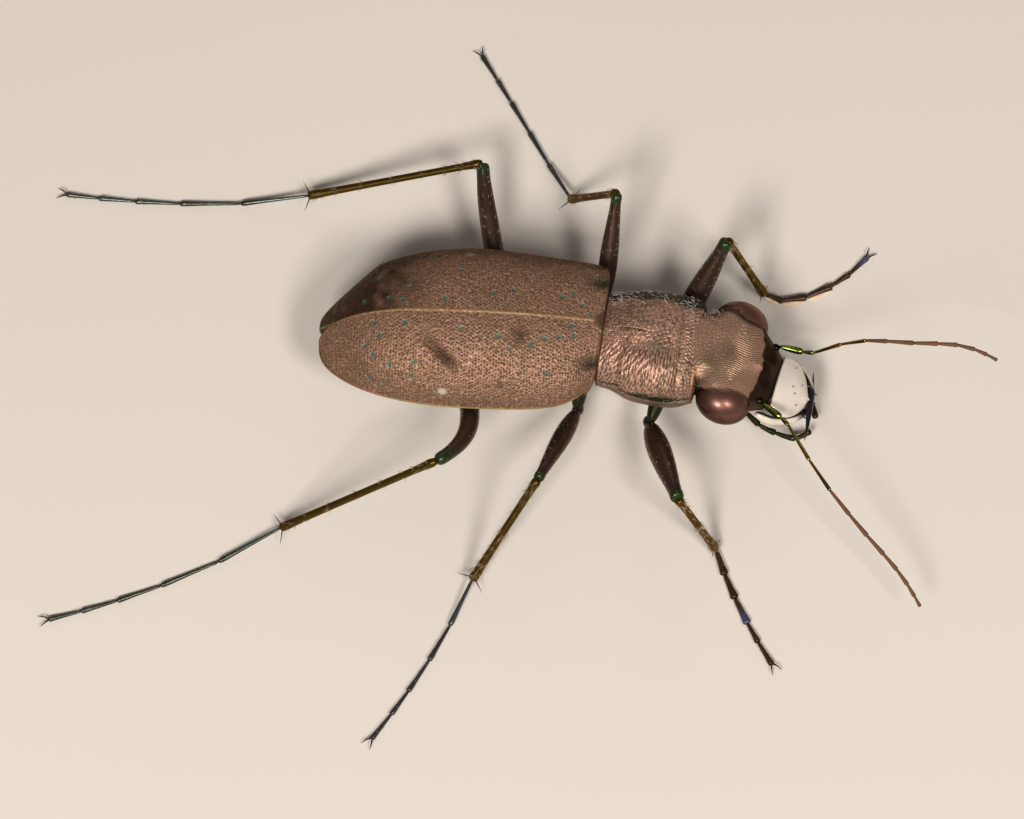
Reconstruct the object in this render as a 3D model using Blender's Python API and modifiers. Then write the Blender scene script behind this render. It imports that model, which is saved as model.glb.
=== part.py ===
"""A one-spotted tiger beetle, life size, standing on its six feet.

Lengths are in millimetres. Everything hangs from one empty whose scale brings
the drawing to metres. The origin lies on the floor under the middle of the
beetle's outline: +X towards the head, +Y to its left, +Z up.
"""

import math
from dataclasses import dataclass

import bmesh
import bpy
from mathutils import Euler, Matrix, Vector

MM = 0.001
GAP = 0.3  # kept between neighbouring pieces
LIMB = 0.25  # least radius of a limb or feeler, apart from its tip
TIP = 0.08  # radius at the tip of a feeler
WHIP_END = 0.2  # radius one joint before the tip
WELD = 0.0005  # points nearer than this are one
CREASE = math.radians(50)  # an edge that turns more than this stays sharp

SIDES = {"left": 1, "right": -1}

# The three blocks of the body: where each frame stands, its yaw and its pitch.
HIND_BODY = {"place": (2.72, 0.67, 0.0), "yaw": -2.4, "pitch": 0.0}
PROTHORAX = {"place": (3.08, 0.62, 0.0), "yaw": -9.0, "pitch": 0.0}
HEAD = {"place": (7.1, -0.19, 2.52), "yaw": -16.7, "pitch": 15.0}

# Wing covers, measured back from their base along the suture.
COVER_LENGTH = 8.85
COVER_HALF_WIDTH = 2.78
COVER_WALL = 0.5
WIDEST = 0.42  # part of the length at which the covers are widest
SHOULDER_LOSS = 0.26  # part of the half width lost at the shoulders
SHOULDER_POWER = 3.8
TAIL_POWER = 0.526
TIP_HALF_WIDTH = 0.62
TIP_NOTCH = 0.22  # how far each cover's tip turns away from the suture
CREST = 4.4
CREST_DROP_AT_BASE = 0.45
CREST_DROP_AT_TIP = 2.15
RIM = 2.82
RIM_RISE_AT_BASE = 0.1
RIM_DROP_AT_TIP = 0.6
DOME_TURN = math.radians(76)  # how far round its arc the dome runs, crest to rim
SHOULDER_SWEEP = 0.3  # how far the shoulder corner lies behind the base
TAIL_ROWS = 0.35  # how much closer the rows of points stand towards the tip

# Trunk under the covers.
TRUNK_INSET = 0.95  # from the covers' outline to the trunk's side
WAIST = 0.5  # from the covers' rim down to the trunk's widest level
THORAX_REAR = -3.0
THORAX_ENDS = (0.82, 0.96)  # share of the section kept at its front and rear faces
ABDOMEN_REAR = -7.85
ABDOMEN_ENDS = (0.96, 0.45)
BELLY = 1.4
BELLY_RISE = 0.55  # towards the tail
BELLY_RISE_IN_FRONT = 0.15


@dataclass(frozen=True)
class Barrel:
    """Sizes of a body block drawn as rings along its own x axis.

    half_width, top, bottom and waist hold the value at the rear, in the
    middle and at the front. ends holds how much of the section the rear and
    the front face keep after their edges are rounded.
    """

    rear: float
    front: float
    half_width: tuple
    top: tuple
    bottom: tuple
    waist: tuple
    ends: tuple


PROTHORAX_SIZES = Barrel(
    rear=0.0,
    front=2.75,
    half_width=(1.52, 1.86, 1.66),
    top=(3.45, 3.76, 3.42),
    bottom=(1.6, 1.42, 1.5),
    waist=(2.5, 2.55, 2.5),
    ends=(0.86, 0.9),
)
HEAD_SIZES = Barrel(
    rear=-1.75,
    front=1.32,
    half_width=(1.3, 1.42, 0.9),
    top=(0.5, 0.86, 0.1),
    bottom=(-0.95, -1.2, -1.12),
    waist=(-0.2, -0.15, -0.45),
    ends=(0.9, 0.92),
)
EYE_CENTRE = (-0.02, 1.44, 0.03)
EYE_RADII = (0.8, 0.72, 0.76)

LABRUM_REAR = 1.62
LABRUM_FRONT = 2.55
LABRUM_HALF_WIDTHS = (0.84, 0.87, 0.42)  # at its base, its middle and its front edge
LABRUM_THICKNESS = (0.42, 0.26)
LABRUM_TOP = (0.02, -0.14)

# Paths in the head's frame for the left side: y turns over for the right.
MANDIBLE_RADII = (0.3, 0.27, 0.22, 0.13, 0.1, 0.04)
MANDIBLE_PATHS = {
    "left": (
        (0.9, 0.85, -0.8),
        (1.7, 1.06, -0.85),
        (2.35, 0.96, -0.93),
        (2.86, 0.32, -0.97),
        (2.99, -0.4, -0.95),
        (2.93, -1.12, -0.9),
    ),
    "right": (
        (0.9, 0.85, -0.78),
        (1.7, 1.08, -0.84),
        (2.38, 1.02, -0.82),
        (2.92, 0.38, -0.55),
        (2.99, -0.28, -0.42),
        (2.74, -1.0, -0.34),
    ),
}
OUTER_PALP_RADII = (0.25, 0.21, 0.2, 0.17, 0.1)
OUTER_PALP = (
    (0.6, 0.85, -1.1),
    (1.5, 0.9, -1.6),
    (2.35, 0.88, -1.63),
    (2.9, 0.78, -1.48),
    (3.4, 0.5, -1.32),
)
LIP_PALP_RADII = (0.25, 0.2, 0.18, 0.12)
LIP_PALP = ((0.9, 0.18, -0.9), (1.7, 0.2, -1.46), (2.45, 0.24, -1.5), (3.2, 0.18, -1.36))

# Feelers: the length of each of their eleven joints, and how they are held.
FEELER_JOINTS = (0.76, 0.36, 1.42, 1.22, 0.97, 0.87, 0.77, 0.63, 0.57, 0.43, 0.37)
FEELER_BASE_JOINTS = 4
FEELER_SOCKET = (1.1, 1.02, 0.1)


@dataclass(frozen=True)
class Feeler:
    """Heading and rise of one feeler, in degrees, at five places along it."""

    heading: tuple
    rise: tuple


FEELERS = {
    "left": Feeler(heading=(-8, -15, -27, 3, -22), rise=(-10, 58, 44, -10, -22)),
    "right": Feeler(heading=(-43, -65, -52, -47, -57), rise=(3, 9, -8, -13, -28)),
}


@dataclass(frozen=True)
class LegSizes:
    """Sizes that a pair of legs shares: lengths, then radii."""

    femur: float
    tibia: float
    tarsus: float
    femur_radii: tuple
    spur: float


@dataclass(frozen=True)
class LegPose:
    """How one leg stands: hip in millimetres, then headings and rises in degrees.

    The tarsus turns evenly from its first heading to its second.
    """

    hip: tuple
    femur: tuple
    tibia: tuple
    tarsus: tuple


LEG_SIZES = {
    "front": LegSizes(3.65, 3.2, 4.25, (0.26, 0.415, 0.25), 0.6),
    "mid": LegSizes(3.75, 4.1, 6.1, (0.26, 0.365, 0.25), 0.75),
    "hind": LegSizes(4.9, 6.0, 7.9, (0.26, 0.33, 0.25), 0.75),
}
LEG_POSES = {
    "front_left": LegPose((5.3, 1.7, 1.0), (50.4, 50.6), (-25.3, -64.4), (-4, 50)),
    "front_right": LegPose((4.43, -1.83, 1.43), (-77.2, 26.6), (-21.2, -62.0), (-73, -59)),
    "mid_left": LegPose((2.89, 2.48, 1.32), (80.9, 47.2), (135.3, -60.9), (117, 120)),
    "mid_right": LegPose((2.03, -1.28, 1.2), (-112.5, 29.1), (-130.9, -39.7), (-114, -128)),
    "hind_left": LegPose((-0.25, 2.15, 1.05), (98.8, 16.7), (-177.2, -19.0), (185, 172)),
    "hind_right": LegPose((-0.72, -0.02, 1.05), (-113.2, 30.7), (-168.4, -32.2), (-149, -166)),
}
# Where a coxa is rooted, in the frame of the block that carries it.
COXA_ROOTS = {"front": (1.9, 0.55, 1.9), "mid": (-0.5, 0.7, 1.8)}
COXA_RADII = (0.5, 0.5, 0.32)
FOOT_REST = 0.22  # height of the tarsus's middle where it lies on the floor
TOUCHDOWN = 0.4  # part of the tarsus after which it lies flat
TOE_TAPER = ((0.19, 0.22), (0.14, 0.16))  # height and radius at the last two points
CLAW_LENGTH = 0.42
CLAW_RADII = (0.1, 0.03)
CLAW_SPREAD = 34.0
CLAW_DROP = -8.0
SPUR_SPREAD = 75.0
SPUR_HEIGHT = 0.45  # of the spurs above the ankle
SPUR_RADII = (0.16, 0.05)

TRIM_REACH = 0.3  # how far a limb runs past a joint before the joint's cut

RING_POINTS = 20
ROUNDED = 0.14  # part of a block's length over which each end is rounded
BARREL_RINGS = 11
TARSUS_POINTS = 13
FEMUR_POINTS = 9
SWELL_FORWARD = 0.8  # under 1 draws a femur's swelling towards its root
SWELL_FALL = 1.3
LABRUM_RINGS = 8
CURVE_RESOLUTION = 3

FINISHES = {
    "wing_cover": ((0.23, 0.15, 0.13), 0.42, 0.55),
    "abdomen": ((0.03, 0.035, 0.03), 0.35, 0.5),
    "thorax": ((0.03, 0.04, 0.03), 0.38, 0.5),
    "prothorax": ((0.26, 0.17, 0.14), 0.4, 0.55),
    "head": ((0.25, 0.17, 0.14), 0.38, 0.55),
    "eye": ((0.13, 0.07, 0.055), 0.12, 0.3),
    "labrum": ((0.8, 0.74, 0.66), 0.35, 0.0),
    "mandible": ((0.05, 0.06, 0.08), 0.2, 0.3),
    "palp": ((0.03, 0.06, 0.03), 0.25, 0.5),
    "feeler_base": ((0.12, 0.13, 0.05), 0.25, 0.7),
    "feeler_whip": ((0.1, 0.06, 0.04), 0.6, 0.1),
    "coxa": ((0.05, 0.05, 0.035), 0.35, 0.4),
    "femur": ((0.035, 0.022, 0.022), 0.3, 0.4),
    "tibia": ((0.07, 0.07, 0.03), 0.3, 0.6),
    "tarsus": ((0.03, 0.07, 0.07), 0.25, 0.7),
}


def clear_scene():
    """Removes the objects that the file opened with."""
    for obj in list(bpy.data.objects):
        bpy.data.objects.remove(obj)


def finish(kind):
    """The material of a kind of piece, made once."""
    if kind in bpy.data.materials:
        return bpy.data.materials[kind]
    colour, roughness, metallic = FINISHES[kind]
    material = bpy.data.materials.new(kind)
    material.use_nodes = True
    shader = material.node_tree.nodes["Principled BSDF"]
    shader.inputs["Base Color"].default_value = (*colour, 1)
    shader.inputs["Roughness"].default_value = roughness
    shader.inputs["Metallic"].default_value = metallic
    return material


def between(start, middle, end, part):
    """The curve through three values, at part of the way from start to end."""
    return (
        start * (1 - part) * (1 - 2 * part)
        + 4 * middle * part * (1 - part)
        + end * part * (2 * part - 1)
    )


def along_values(values, part):
    """Value at part of the way along evenly spaced values, eased between them."""
    place = part * (len(values) - 1)
    index = min(int(place), len(values) - 2)
    rest = place - index
    ease = rest * rest * (3 - 2 * rest)
    return values[index] * (1 - ease) + values[index + 1] * ease


def direction(heading, rise):
    """Unit vector with this heading from +X and this rise, in degrees."""
    turn, lift = math.radians(heading), math.radians(rise)
    flat = math.cos(lift)
    return Vector((flat * math.cos(turn), flat * math.sin(turn), math.sin(lift)))


class Beetle:
    """The collections, the root empty and the frames that pieces hang from."""

    def __init__(self):
        self.parts = bpy.data.collections.new("tiger_beetle")
        self.cutters = bpy.data.collections.new("cutters")
        for collection in (self.parts, self.cutters):
            bpy.context.scene.collection.children.link(collection)
        self.root = bpy.data.objects.new("tiger_beetle_root", None)
        self.parts.objects.link(self.root)
        self.root.scale = (MM, MM, MM)
        self.hind_body = self.frame("hind_body_frame", HIND_BODY)
        self.prothorax = self.frame("prothorax_frame", PROTHORAX)
        self.head = self.frame("head_frame", HEAD)

    def frame(self, name, stance):
        """An empty that stands where a block of the body is."""
        empty = bpy.data.objects.new(name, None)
        self.parts.objects.link(empty)
        empty.parent = self.root
        empty.location = stance["place"]
        turns = (0, math.radians(stance["pitch"]), math.radians(stance["yaw"]))
        empty.rotation_euler = Euler(turns, "XYZ")
        return empty

    def place(self, name, mesh, kind, parent=None):
        """A node: one named object with its mesh, finish and parent."""
        obj = bpy.data.objects.new(name, mesh)
        self.parts.objects.link(obj)
        obj.parent = parent or self.root
        mesh.materials.clear()
        mesh.materials.append(finish(kind))
        mesh.shade_smooth()
        mesh.set_sharp_from_angle(angle=CREASE)
        return obj

    def cutter(self, name, mesh, parent=None):
        """A helper that only cuts other pieces."""
        obj = bpy.data.objects.new(name, mesh)
        self.cutters.objects.link(obj)
        obj.parent = parent or self.root
        obj.hide_render = True
        obj.display_type = "WIRE"
        return obj


def in_root(stance, point):
    """A point of a block's frame, in the frame of the root."""
    turns = (0, math.radians(stance["pitch"]), math.radians(stance["yaw"]))
    return Euler(turns, "XYZ").to_matrix() @ Vector(point) + Vector(stance["place"])


def mesh_from(bm, name):
    """Turns a bmesh into a mesh with its faces pointing out."""
    bmesh.ops.recalc_face_normals(bm, faces=bm.faces)
    mesh = bpy.data.meshes.new(name)
    bm.to_mesh(mesh)
    bm.free()
    return mesh


def loft(name, rings):
    """A closed skin over rings of equal length, with flat ends."""
    bm = bmesh.new()
    loops = [[bm.verts.new(point) for point in ring] for ring in rings]
    for near, far in zip(loops[:-1], loops[1:]):
        for index in range(len(near)):
            after = (index + 1) % len(near)
            bm.faces.new((near[index], near[after], far[after], far[index]))
    bm.faces.new(loops[0])
    bm.faces.new(loops[-1])
    bmesh.ops.triangulate(bm, faces=bm.faces)
    return mesh_from(bm, name)


def section(x, half_width, top, bottom, waist, power=2.2):
    """A rounded ring across x: widest at the waist, with its own top and bottom."""
    ring = []
    for index in range(RING_POINTS):
        angle = 2 * math.pi * index / RING_POINTS
        across, upward = math.cos(angle), math.sin(angle)
        reach = top - waist if upward > 0 else waist - bottom
        y = half_width * math.copysign(abs(across) ** (2 / power), across)
        z = waist + reach * math.copysign(abs(upward) ** (2 / power), upward)
        ring.append((x, y, z))
    return ring


def rounding(part, ends):
    """Share of the section that a ring keeps near the rounded ends of a block."""
    keep = 1.0
    for nearness, kept in ((part / ROUNDED, ends[0]), ((1 - part) / ROUNDED, ends[1])):
        if nearness < 1:
            keep *= kept + (1 - kept) * math.sqrt(1 - (1 - nearness) ** 2)
    return keep


def ring_parts(count):
    """Places of the rings, closer together near both ends."""
    return [0.5 - 0.5 * math.cos(math.pi * index / (count - 1)) for index in range(count)]


def barrel(name, sizes, grow=0.0):
    """A body block from its sizes, grown all round by grow for a cutter."""
    rings = []
    length = sizes.front - sizes.rear
    for part in ring_parts(BARREL_RINGS):
        keep = rounding(part, sizes.ends)
        waist = between(*sizes.waist, part)
        top = waist + (between(*sizes.top, part) - waist) * keep + grow
        bottom = waist - (waist - between(*sizes.bottom, part)) * keep - grow
        half_width = between(*sizes.half_width, part) * keep + grow
        x = sizes.rear - grow + (length + 2 * grow) * part
        rings.append(section(x, half_width, top, bottom, waist))
    return loft(name, rings)


def cover_outline(part):
    """Half width of the two covers together, at part of their length."""
    if part < WIDEST:
        ahead = 1 - part / WIDEST
        return COVER_HALF_WIDTH * (1 - SHOULDER_LOSS * ahead**SHOULDER_POWER)
    behind = (part - WIDEST) / (1 - WIDEST)
    return max(COVER_HALF_WIDTH * max(1 - behind**2, 0) ** TAIL_POWER, TIP_HALF_WIDTH)


def crest(part):
    """Height of the covers at the suture."""
    if part < WIDEST:
        return CREST - CREST_DROP_AT_BASE * (1 - part / WIDEST) ** 2
    return CREST - CREST_DROP_AT_TIP * ((part - WIDEST) / (1 - WIDEST)) ** 4


def rim(part):
    """Height of the covers at their outer edge."""
    if part < WIDEST:
        return RIM + RIM_RISE_AT_BASE * (1 - part / WIDEST)
    return RIM - RIM_DROP_AT_TIP * ((part - WIDEST) / (1 - WIDEST)) ** 3


def cover_point(part, across, side):
    """A point of a cover's outer face: part from base to tip, across from suture to rim."""
    behind = max(part - WIDEST, 0) / (1 - WIDEST)
    inner = GAP / 2 + TIP_NOTCH * behind**10
    angle = DOME_TURN * across
    reach = math.sin(angle) / math.sin(DOME_TURN)
    rise = (math.cos(angle) - math.cos(DOME_TURN)) / (1 - math.cos(DOME_TURN))
    y = inner + (cover_outline(part) - inner) * reach
    z = rim(part) + (crest(part) - rim(part)) * rise
    ahead = max(1 - part / WIDEST, 0)
    x = -COVER_LENGTH * part - SHOULDER_SWEEP * ahead**6 * across**5
    return Vector((x, side * y, z))


def wing_cover(beetle, side_name):
    """One wing cover: a domed sheet given its wall inwards."""
    side = SIDES[side_name]
    bm = bmesh.new()
    bmesh.ops.create_grid(bm, x_segments=15, y_segments=10, size=0.5)
    for vert in bm.verts:
        along, across = vert.co.x + 0.5, vert.co.y + 0.5
        part = along + TAIL_ROWS * along * (1 - along)
        vert.co = cover_point(part, across, side)
    bmesh.ops.recalc_face_normals(bm, faces=bm.faces)
    if sum(face.normal.z for face in bm.faces) < 0:
        bmesh.ops.reverse_faces(bm, faces=bm.faces)
    bmesh.ops.triangulate(bm, faces=bm.faces)
    mesh = bpy.data.meshes.new(f"wing_cover_{side_name}")
    bm.to_mesh(mesh)
    bm.free()
    cover = beetle.place(f"wing_cover_{side_name}", mesh, "wing_cover", beetle.hind_body)
    wall = cover.modifiers.new("wall", "SOLIDIFY")
    wall.thickness = COVER_WALL
    wall.offset = -1
    return cover


def trunk(name, front, rear, ends, grow=0.0):
    """The part of the trunk between two stations, fitted under the covers."""
    rings = []
    for part in ring_parts(BARREL_RINGS):
        x = front + grow + (rear - front - 2 * grow) * part
        station = min(max(-x / COVER_LENGTH, 0), 1)
        keep = rounding(part, ends)
        waist = rim(station) - WAIST
        half_width = (cover_outline(station) - TRUNK_INSET) * keep
        top = waist + (crest(station) - COVER_WALL - GAP - waist) * keep
        ahead = max(1 - station / WIDEST, 0)
        behind = max(station - WIDEST, 0) / (1 - WIDEST)
        belly = BELLY + BELLY_RISE_IN_FRONT * ahead**2 + BELLY_RISE * behind**2
        bottom = waist - (waist - belly) * keep
        rings.append(section(x, half_width + grow, top + grow, bottom - grow, waist, 2.0))
    return loft(name, rings)


def carve(obj, cutters):
    """Cuts each helper out of the piece."""
    for cutter in cutters:
        cut = obj.modifiers.new(cutter.name, "BOOLEAN")
        cut.operation = "DIFFERENCE"
        cut.solver = "EXACT"
        cut.object = cutter


def settle(obj):
    """Applies the piece's modifiers and keeps its largest closed surface."""
    bpy.context.view_layer.update()
    graph = bpy.context.evaluated_depsgraph_get()
    mesh = bpy.data.meshes.new_from_object(obj.evaluated_get(graph))
    obj.modifiers.clear()
    obj.data = mesh
    bm = bmesh.new()
    bm.from_mesh(mesh)
    bmesh.ops.remove_doubles(bm, verts=bm.verts, dist=WELD)
    bmesh.ops.triangulate(bm, faces=bm.faces)
    loose = set(bm.verts)
    bodies = []
    while loose:
        body, queue = set(), [loose.pop()]
        while queue:
            vert = queue.pop()
            body.add(vert)
            for edge in vert.link_edges:
                other = edge.other_vert(vert)
                if other in loose:
                    loose.remove(other)
                    queue.append(other)
        bodies.append(body)
    bodies.sort(key=len)
    scraps = [vert for body in bodies[:-1] for vert in body]
    bmesh.ops.delete(bm, geom=scraps, context="VERTS")
    bm.to_mesh(mesh)
    bm.free()
    mesh.shade_smooth()
    mesh.set_sharp_from_angle(angle=CREASE)


def fuse(obj, pieces):
    """Joins pieces to the node that they grow from."""
    group = bpy.data.collections.new(f"{obj.name}_pieces")
    bpy.context.scene.collection.children.link(group)
    for piece in pieces:
        group.objects.link(piece)
    joining = obj.modifiers.new("join", "BOOLEAN")
    joining.operation = "UNION"
    joining.solver = "EXACT"
    joining.operand_type = "COLLECTION"
    joining.collection = group
    settle(obj)
    for piece in pieces:
        bpy.data.objects.remove(piece)
    bpy.data.collections.remove(group)


def tube(name, path, radii):
    """A closed tube along points, with its own radius at each, as a mesh."""
    curve = bpy.data.curves.new(name, "CURVE")
    curve.dimensions = "3D"
    curve.bevel_depth = 1.0
    curve.bevel_resolution = CURVE_RESOLUTION
    curve.use_fill_caps = True
    spline = curve.splines.new("POLY")
    spline.points.add(len(path) - 1)
    for point, place, radius in zip(spline.points, path, radii):
        point.co = (*place, 1)
        point.radius = radius
    holder = bpy.data.objects.new(name, curve)
    bpy.context.scene.collection.objects.link(holder)
    bpy.context.view_layer.update()
    graph = bpy.context.evaluated_depsgraph_get()
    mesh = bpy.data.meshes.new_from_object(holder.evaluated_get(graph))
    mesh.transform(holder.matrix_world)
    bpy.data.objects.remove(holder)
    bm = bmesh.new()
    bm.from_mesh(mesh)
    bpy.data.meshes.remove(mesh)
    bmesh.ops.remove_doubles(bm, verts=bm.verts, dist=WELD)
    return mesh_from(bm, name)


def trim(mesh, point, normal):
    """Cuts away what lies past a plane, on the side that its normal points to."""
    bm = bmesh.new()
    bm.from_mesh(mesh)
    geometry = bm.verts[:] + bm.edges[:] + bm.faces[:]
    bmesh.ops.bisect_plane(
        bm, geom=geometry, dist=WELD, plane_co=point, plane_no=normal, clear_outer=True
    )
    rims = [edge for edge in bm.edges if edge.is_boundary]
    if rims:
        bmesh.ops.contextual_create(bm, geom=rims)
    bmesh.ops.recalc_face_normals(bm, faces=bm.faces)
    bm.to_mesh(mesh)
    bm.free()
    return mesh


def cone(name, start, heading, length, radius, tip):
    """A spine or claw as a small cone, its root at start."""
    bm = bmesh.new()
    turn = heading.to_track_quat("Z", "Y").to_matrix().to_4x4()
    middle = Matrix.Translation(start + heading * length / 2)
    bmesh.ops.create_cone(
        bm,
        cap_ends=True,
        segments=6,
        radius1=radius,
        radius2=tip,
        depth=length,
        matrix=middle @ turn,
    )
    return mesh_from(bm, name)


def smooth_path(points, count):
    """Points read evenly from the smooth curve through a few named points."""
    ends = [points[0] * 2 - points[1], *points, points[-1] * 2 - points[-2]]
    path = []
    for step in range(count):
        place = step / (count - 1) * (len(points) - 1)
        index = min(int(place), len(points) - 2)
        t = place - index
        a, b, c, d = ends[index : index + 4]
        path.append(
            0.5 * (2 * b + (c - a) * t + (2 * a - 5 * b + 4 * c - d) * t**2)
            + 0.5 * (3 * b - a - 3 * c + d) * t**3
        )
    return path


def mirrored(points, side):
    """Points of the left side, turned over for the right."""
    return [Vector((x, side * y, z)) for x, y, z in points]


def build_trunk(beetle):
    """The wing covers, and the thorax and abdomen under them."""
    for side_name in SIDES:
        wing_cover(beetle, side_name)
    thorax = trunk("thorax", 0.0, THORAX_REAR, THORAX_ENDS)
    abdomen = trunk("abdomen", THORAX_REAR - GAP, ABDOMEN_REAR, ABDOMEN_ENDS)
    return (
        beetle.place("thorax", thorax, "thorax", beetle.hind_body),
        beetle.place("abdomen", abdomen, "abdomen", beetle.hind_body),
    )


def build_head(beetle, prothorax_space):
    """The head with its eyes let into it."""
    head = beetle.place("head", barrel("head", HEAD_SIZES), "head", beetle.head)
    carve(head, [prothorax_space])
    for side_name, side in SIDES.items():
        for grow in (0.0, GAP):
            bm = bmesh.new()
            bmesh.ops.create_uvsphere(bm, u_segments=20, v_segments=12, radius=1)
            radii = [radius + grow for radius in EYE_RADII]
            centre = (EYE_CENTRE[0], side * EYE_CENTRE[1], EYE_CENTRE[2])
            bmesh.ops.transform(
                bm, verts=bm.verts, matrix=Matrix.LocRotScale(Vector(centre), None, Vector(radii))
            )
            mesh = mesh_from(bm, f"eye_{side_name}")
            if grow:
                socket = beetle.cutter(f"eye_socket_{side_name}", mesh, beetle.head)
                carve(head, [socket])
            else:
                beetle.place(f"eye_{side_name}", mesh, "eye", beetle.head)
    settle(head)


def build_labrum(beetle):
    """The pale upper lip: a plate with a rounded front."""
    rings = []
    for index in range(LABRUM_RINGS):
        part = index / (LABRUM_RINGS - 1)
        x = LABRUM_REAR + (LABRUM_FRONT - LABRUM_REAR) * part
        half_width = between(*LABRUM_HALF_WIDTHS, part)
        top = LABRUM_TOP[0] + (LABRUM_TOP[1] - LABRUM_TOP[0]) * part
        thickness = LABRUM_THICKNESS[0] + (LABRUM_THICKNESS[1] - LABRUM_THICKNESS[0]) * part
        rings.append(section(x, half_width, top, top - thickness, top - thickness / 2, 2.6))
    beetle.place("labrum", loft("labrum", rings), "labrum", beetle.head)


def limb_of_mouth(points, radii, side):
    """A tapering limb of the mouth through its named points."""
    count = 3 * len(points) - 2
    path = smooth_path(mirrored(points, side), count)
    widths = smooth_path([Vector((radius, 0, 0)) for radius in radii], count)
    return tube("limb", path, [width.x for width in widths])


def build_mouth(beetle, head_space):
    """Mandibles crossed in front of the upper lip, then the palps under them."""
    for side_name, side in SIDES.items():
        shapes = (
            ("mandible", MANDIBLE_PATHS[side_name], MANDIBLE_RADII, "mandible"),
            ("outer_palp", OUTER_PALP, OUTER_PALP_RADII, "palp"),
        )
        for name, points, radii, kind in shapes:
            mesh = limb_of_mouth(points, radii, side)
            piece = beetle.place(f"{name}_{side_name}", mesh, kind, beetle.head)
            carve(piece, [head_space])
            settle(piece)
    left, right = (limb_of_mouth(LIP_PALP, LIP_PALP_RADII, side) for side in SIDES.values())
    lower_lip = beetle.place("lower_lip", left, "palp", beetle.head)
    other = bpy.data.objects.new("lip_palp", right)
    other.parent = beetle.head
    fuse(lower_lip, [other])
    carve(lower_lip, [head_space])
    settle(lower_lip)


def feeler_path(side_name):
    """The joints of a feeler, from its socket to its tip, in the root's frame."""
    pose = FEELERS[side_name]
    x, y, z = FEELER_SOCKET
    joints = [in_root(HEAD, (x, SIDES[side_name] * y, z))]
    total = sum(FEELER_JOINTS)
    gone = 0.0
    for length in FEELER_JOINTS:
        part = (gone + length / 2) / total
        step = direction(along_values(pose.heading, part), along_values(pose.rise, part))
        joints.append(joints[-1] + step * length)
        gone += length
    return joints


def build_feelers(beetle, head_space):
    """Each feeler: a bright base of four joints, then a dull whip of seven."""
    for side_name in SIDES:
        joints = feeler_path(side_name)
        first = joints[1] - joints[0]
        base = [joints[0] - first] + joints[: FEELER_BASE_JOINTS + 1]
        whip = joints[FEELER_BASE_JOINTS:]
        bend = (base[-1] - base[-2]).normalized() + (whip[1] - whip[0]).normalized()
        bend.normalize()
        seam = base[-1]
        base[-1] = seam + (base[-1] - base[-2]).normalized() * TRIM_REACH
        whip[0] = seam - (whip[1] - whip[0]).normalized() * TRIM_REACH
        base_mesh = tube("feeler_base", base, [LIMB] * len(base))
        whip_radii = [LIMB] * (len(whip) - 2) + [WHIP_END, TIP]
        whip_mesh = tube("feeler_whip", whip, whip_radii)
        trim(base_mesh, seam - bend * GAP / 2, bend)
        trim(whip_mesh, seam + bend * GAP / 2, -bend)
        base_piece = beetle.place(f"feeler_{side_name}_base", base_mesh, "feeler_base")
        carve(base_piece, [head_space])
        settle(base_piece)
        beetle.place(f"feeler_{side_name}_whip", whip_mesh, "feeler_whip")


def tarsus_path(start, sizes, pose, rest):
    """Middle line of a tarsus: down from the ankle, then flat along the floor."""
    count = TARSUS_POINTS
    path = [start]
    step = sizes.tarsus / (count - 1)
    for index in range(1, count):
        part = index / (count - 1)
        heading = pose.tarsus[0] + (pose.tarsus[1] - pose.tarsus[0]) * (part - 0.5 / (count - 1))
        left = max(1 - part / TOUCHDOWN, 0)
        height = rest + (start.z - rest) * left**2
        drop = path[-1].z - height
        flat = math.sqrt(max(step**2 - drop**2, 0))
        ahead = direction(heading, 0) * flat
        path.append(Vector((path[-1].x + ahead.x, path[-1].y + ahead.y, height)))
    return path


def leg_joints(pose, sizes):
    """Hip, knee and ankle of a leg, with the directions of femur and tibia."""
    hip = Vector(pose.hip)
    thigh, shin = direction(*pose.femur), direction(*pose.tibia)
    knee = hip + thigh * sizes.femur
    return hip, knee, knee + shin * sizes.tibia, thigh, shin


def femur_line(hip, thigh, sizes, grow=0.0):
    """Points and radii of a femur, swollen near its root and grown for a cutter."""
    path, radii = [], []
    for index in range(FEMUR_POINTS):
        part = index / (FEMUR_POINTS - 1)
        reach = (sizes.femur + 2 * TRIM_REACH + 2 * grow) * part - TRIM_REACH - grow
        path.append(hip + thigh * reach)
        root, belly, knee = sizes.femur_radii
        swell = math.sin(math.pi * part**SWELL_FORWARD) ** SWELL_FALL
        plain = root + (knee - root) * part
        radii.append(plain + (belly - plain) * swell + grow)
    return path, radii


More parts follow.
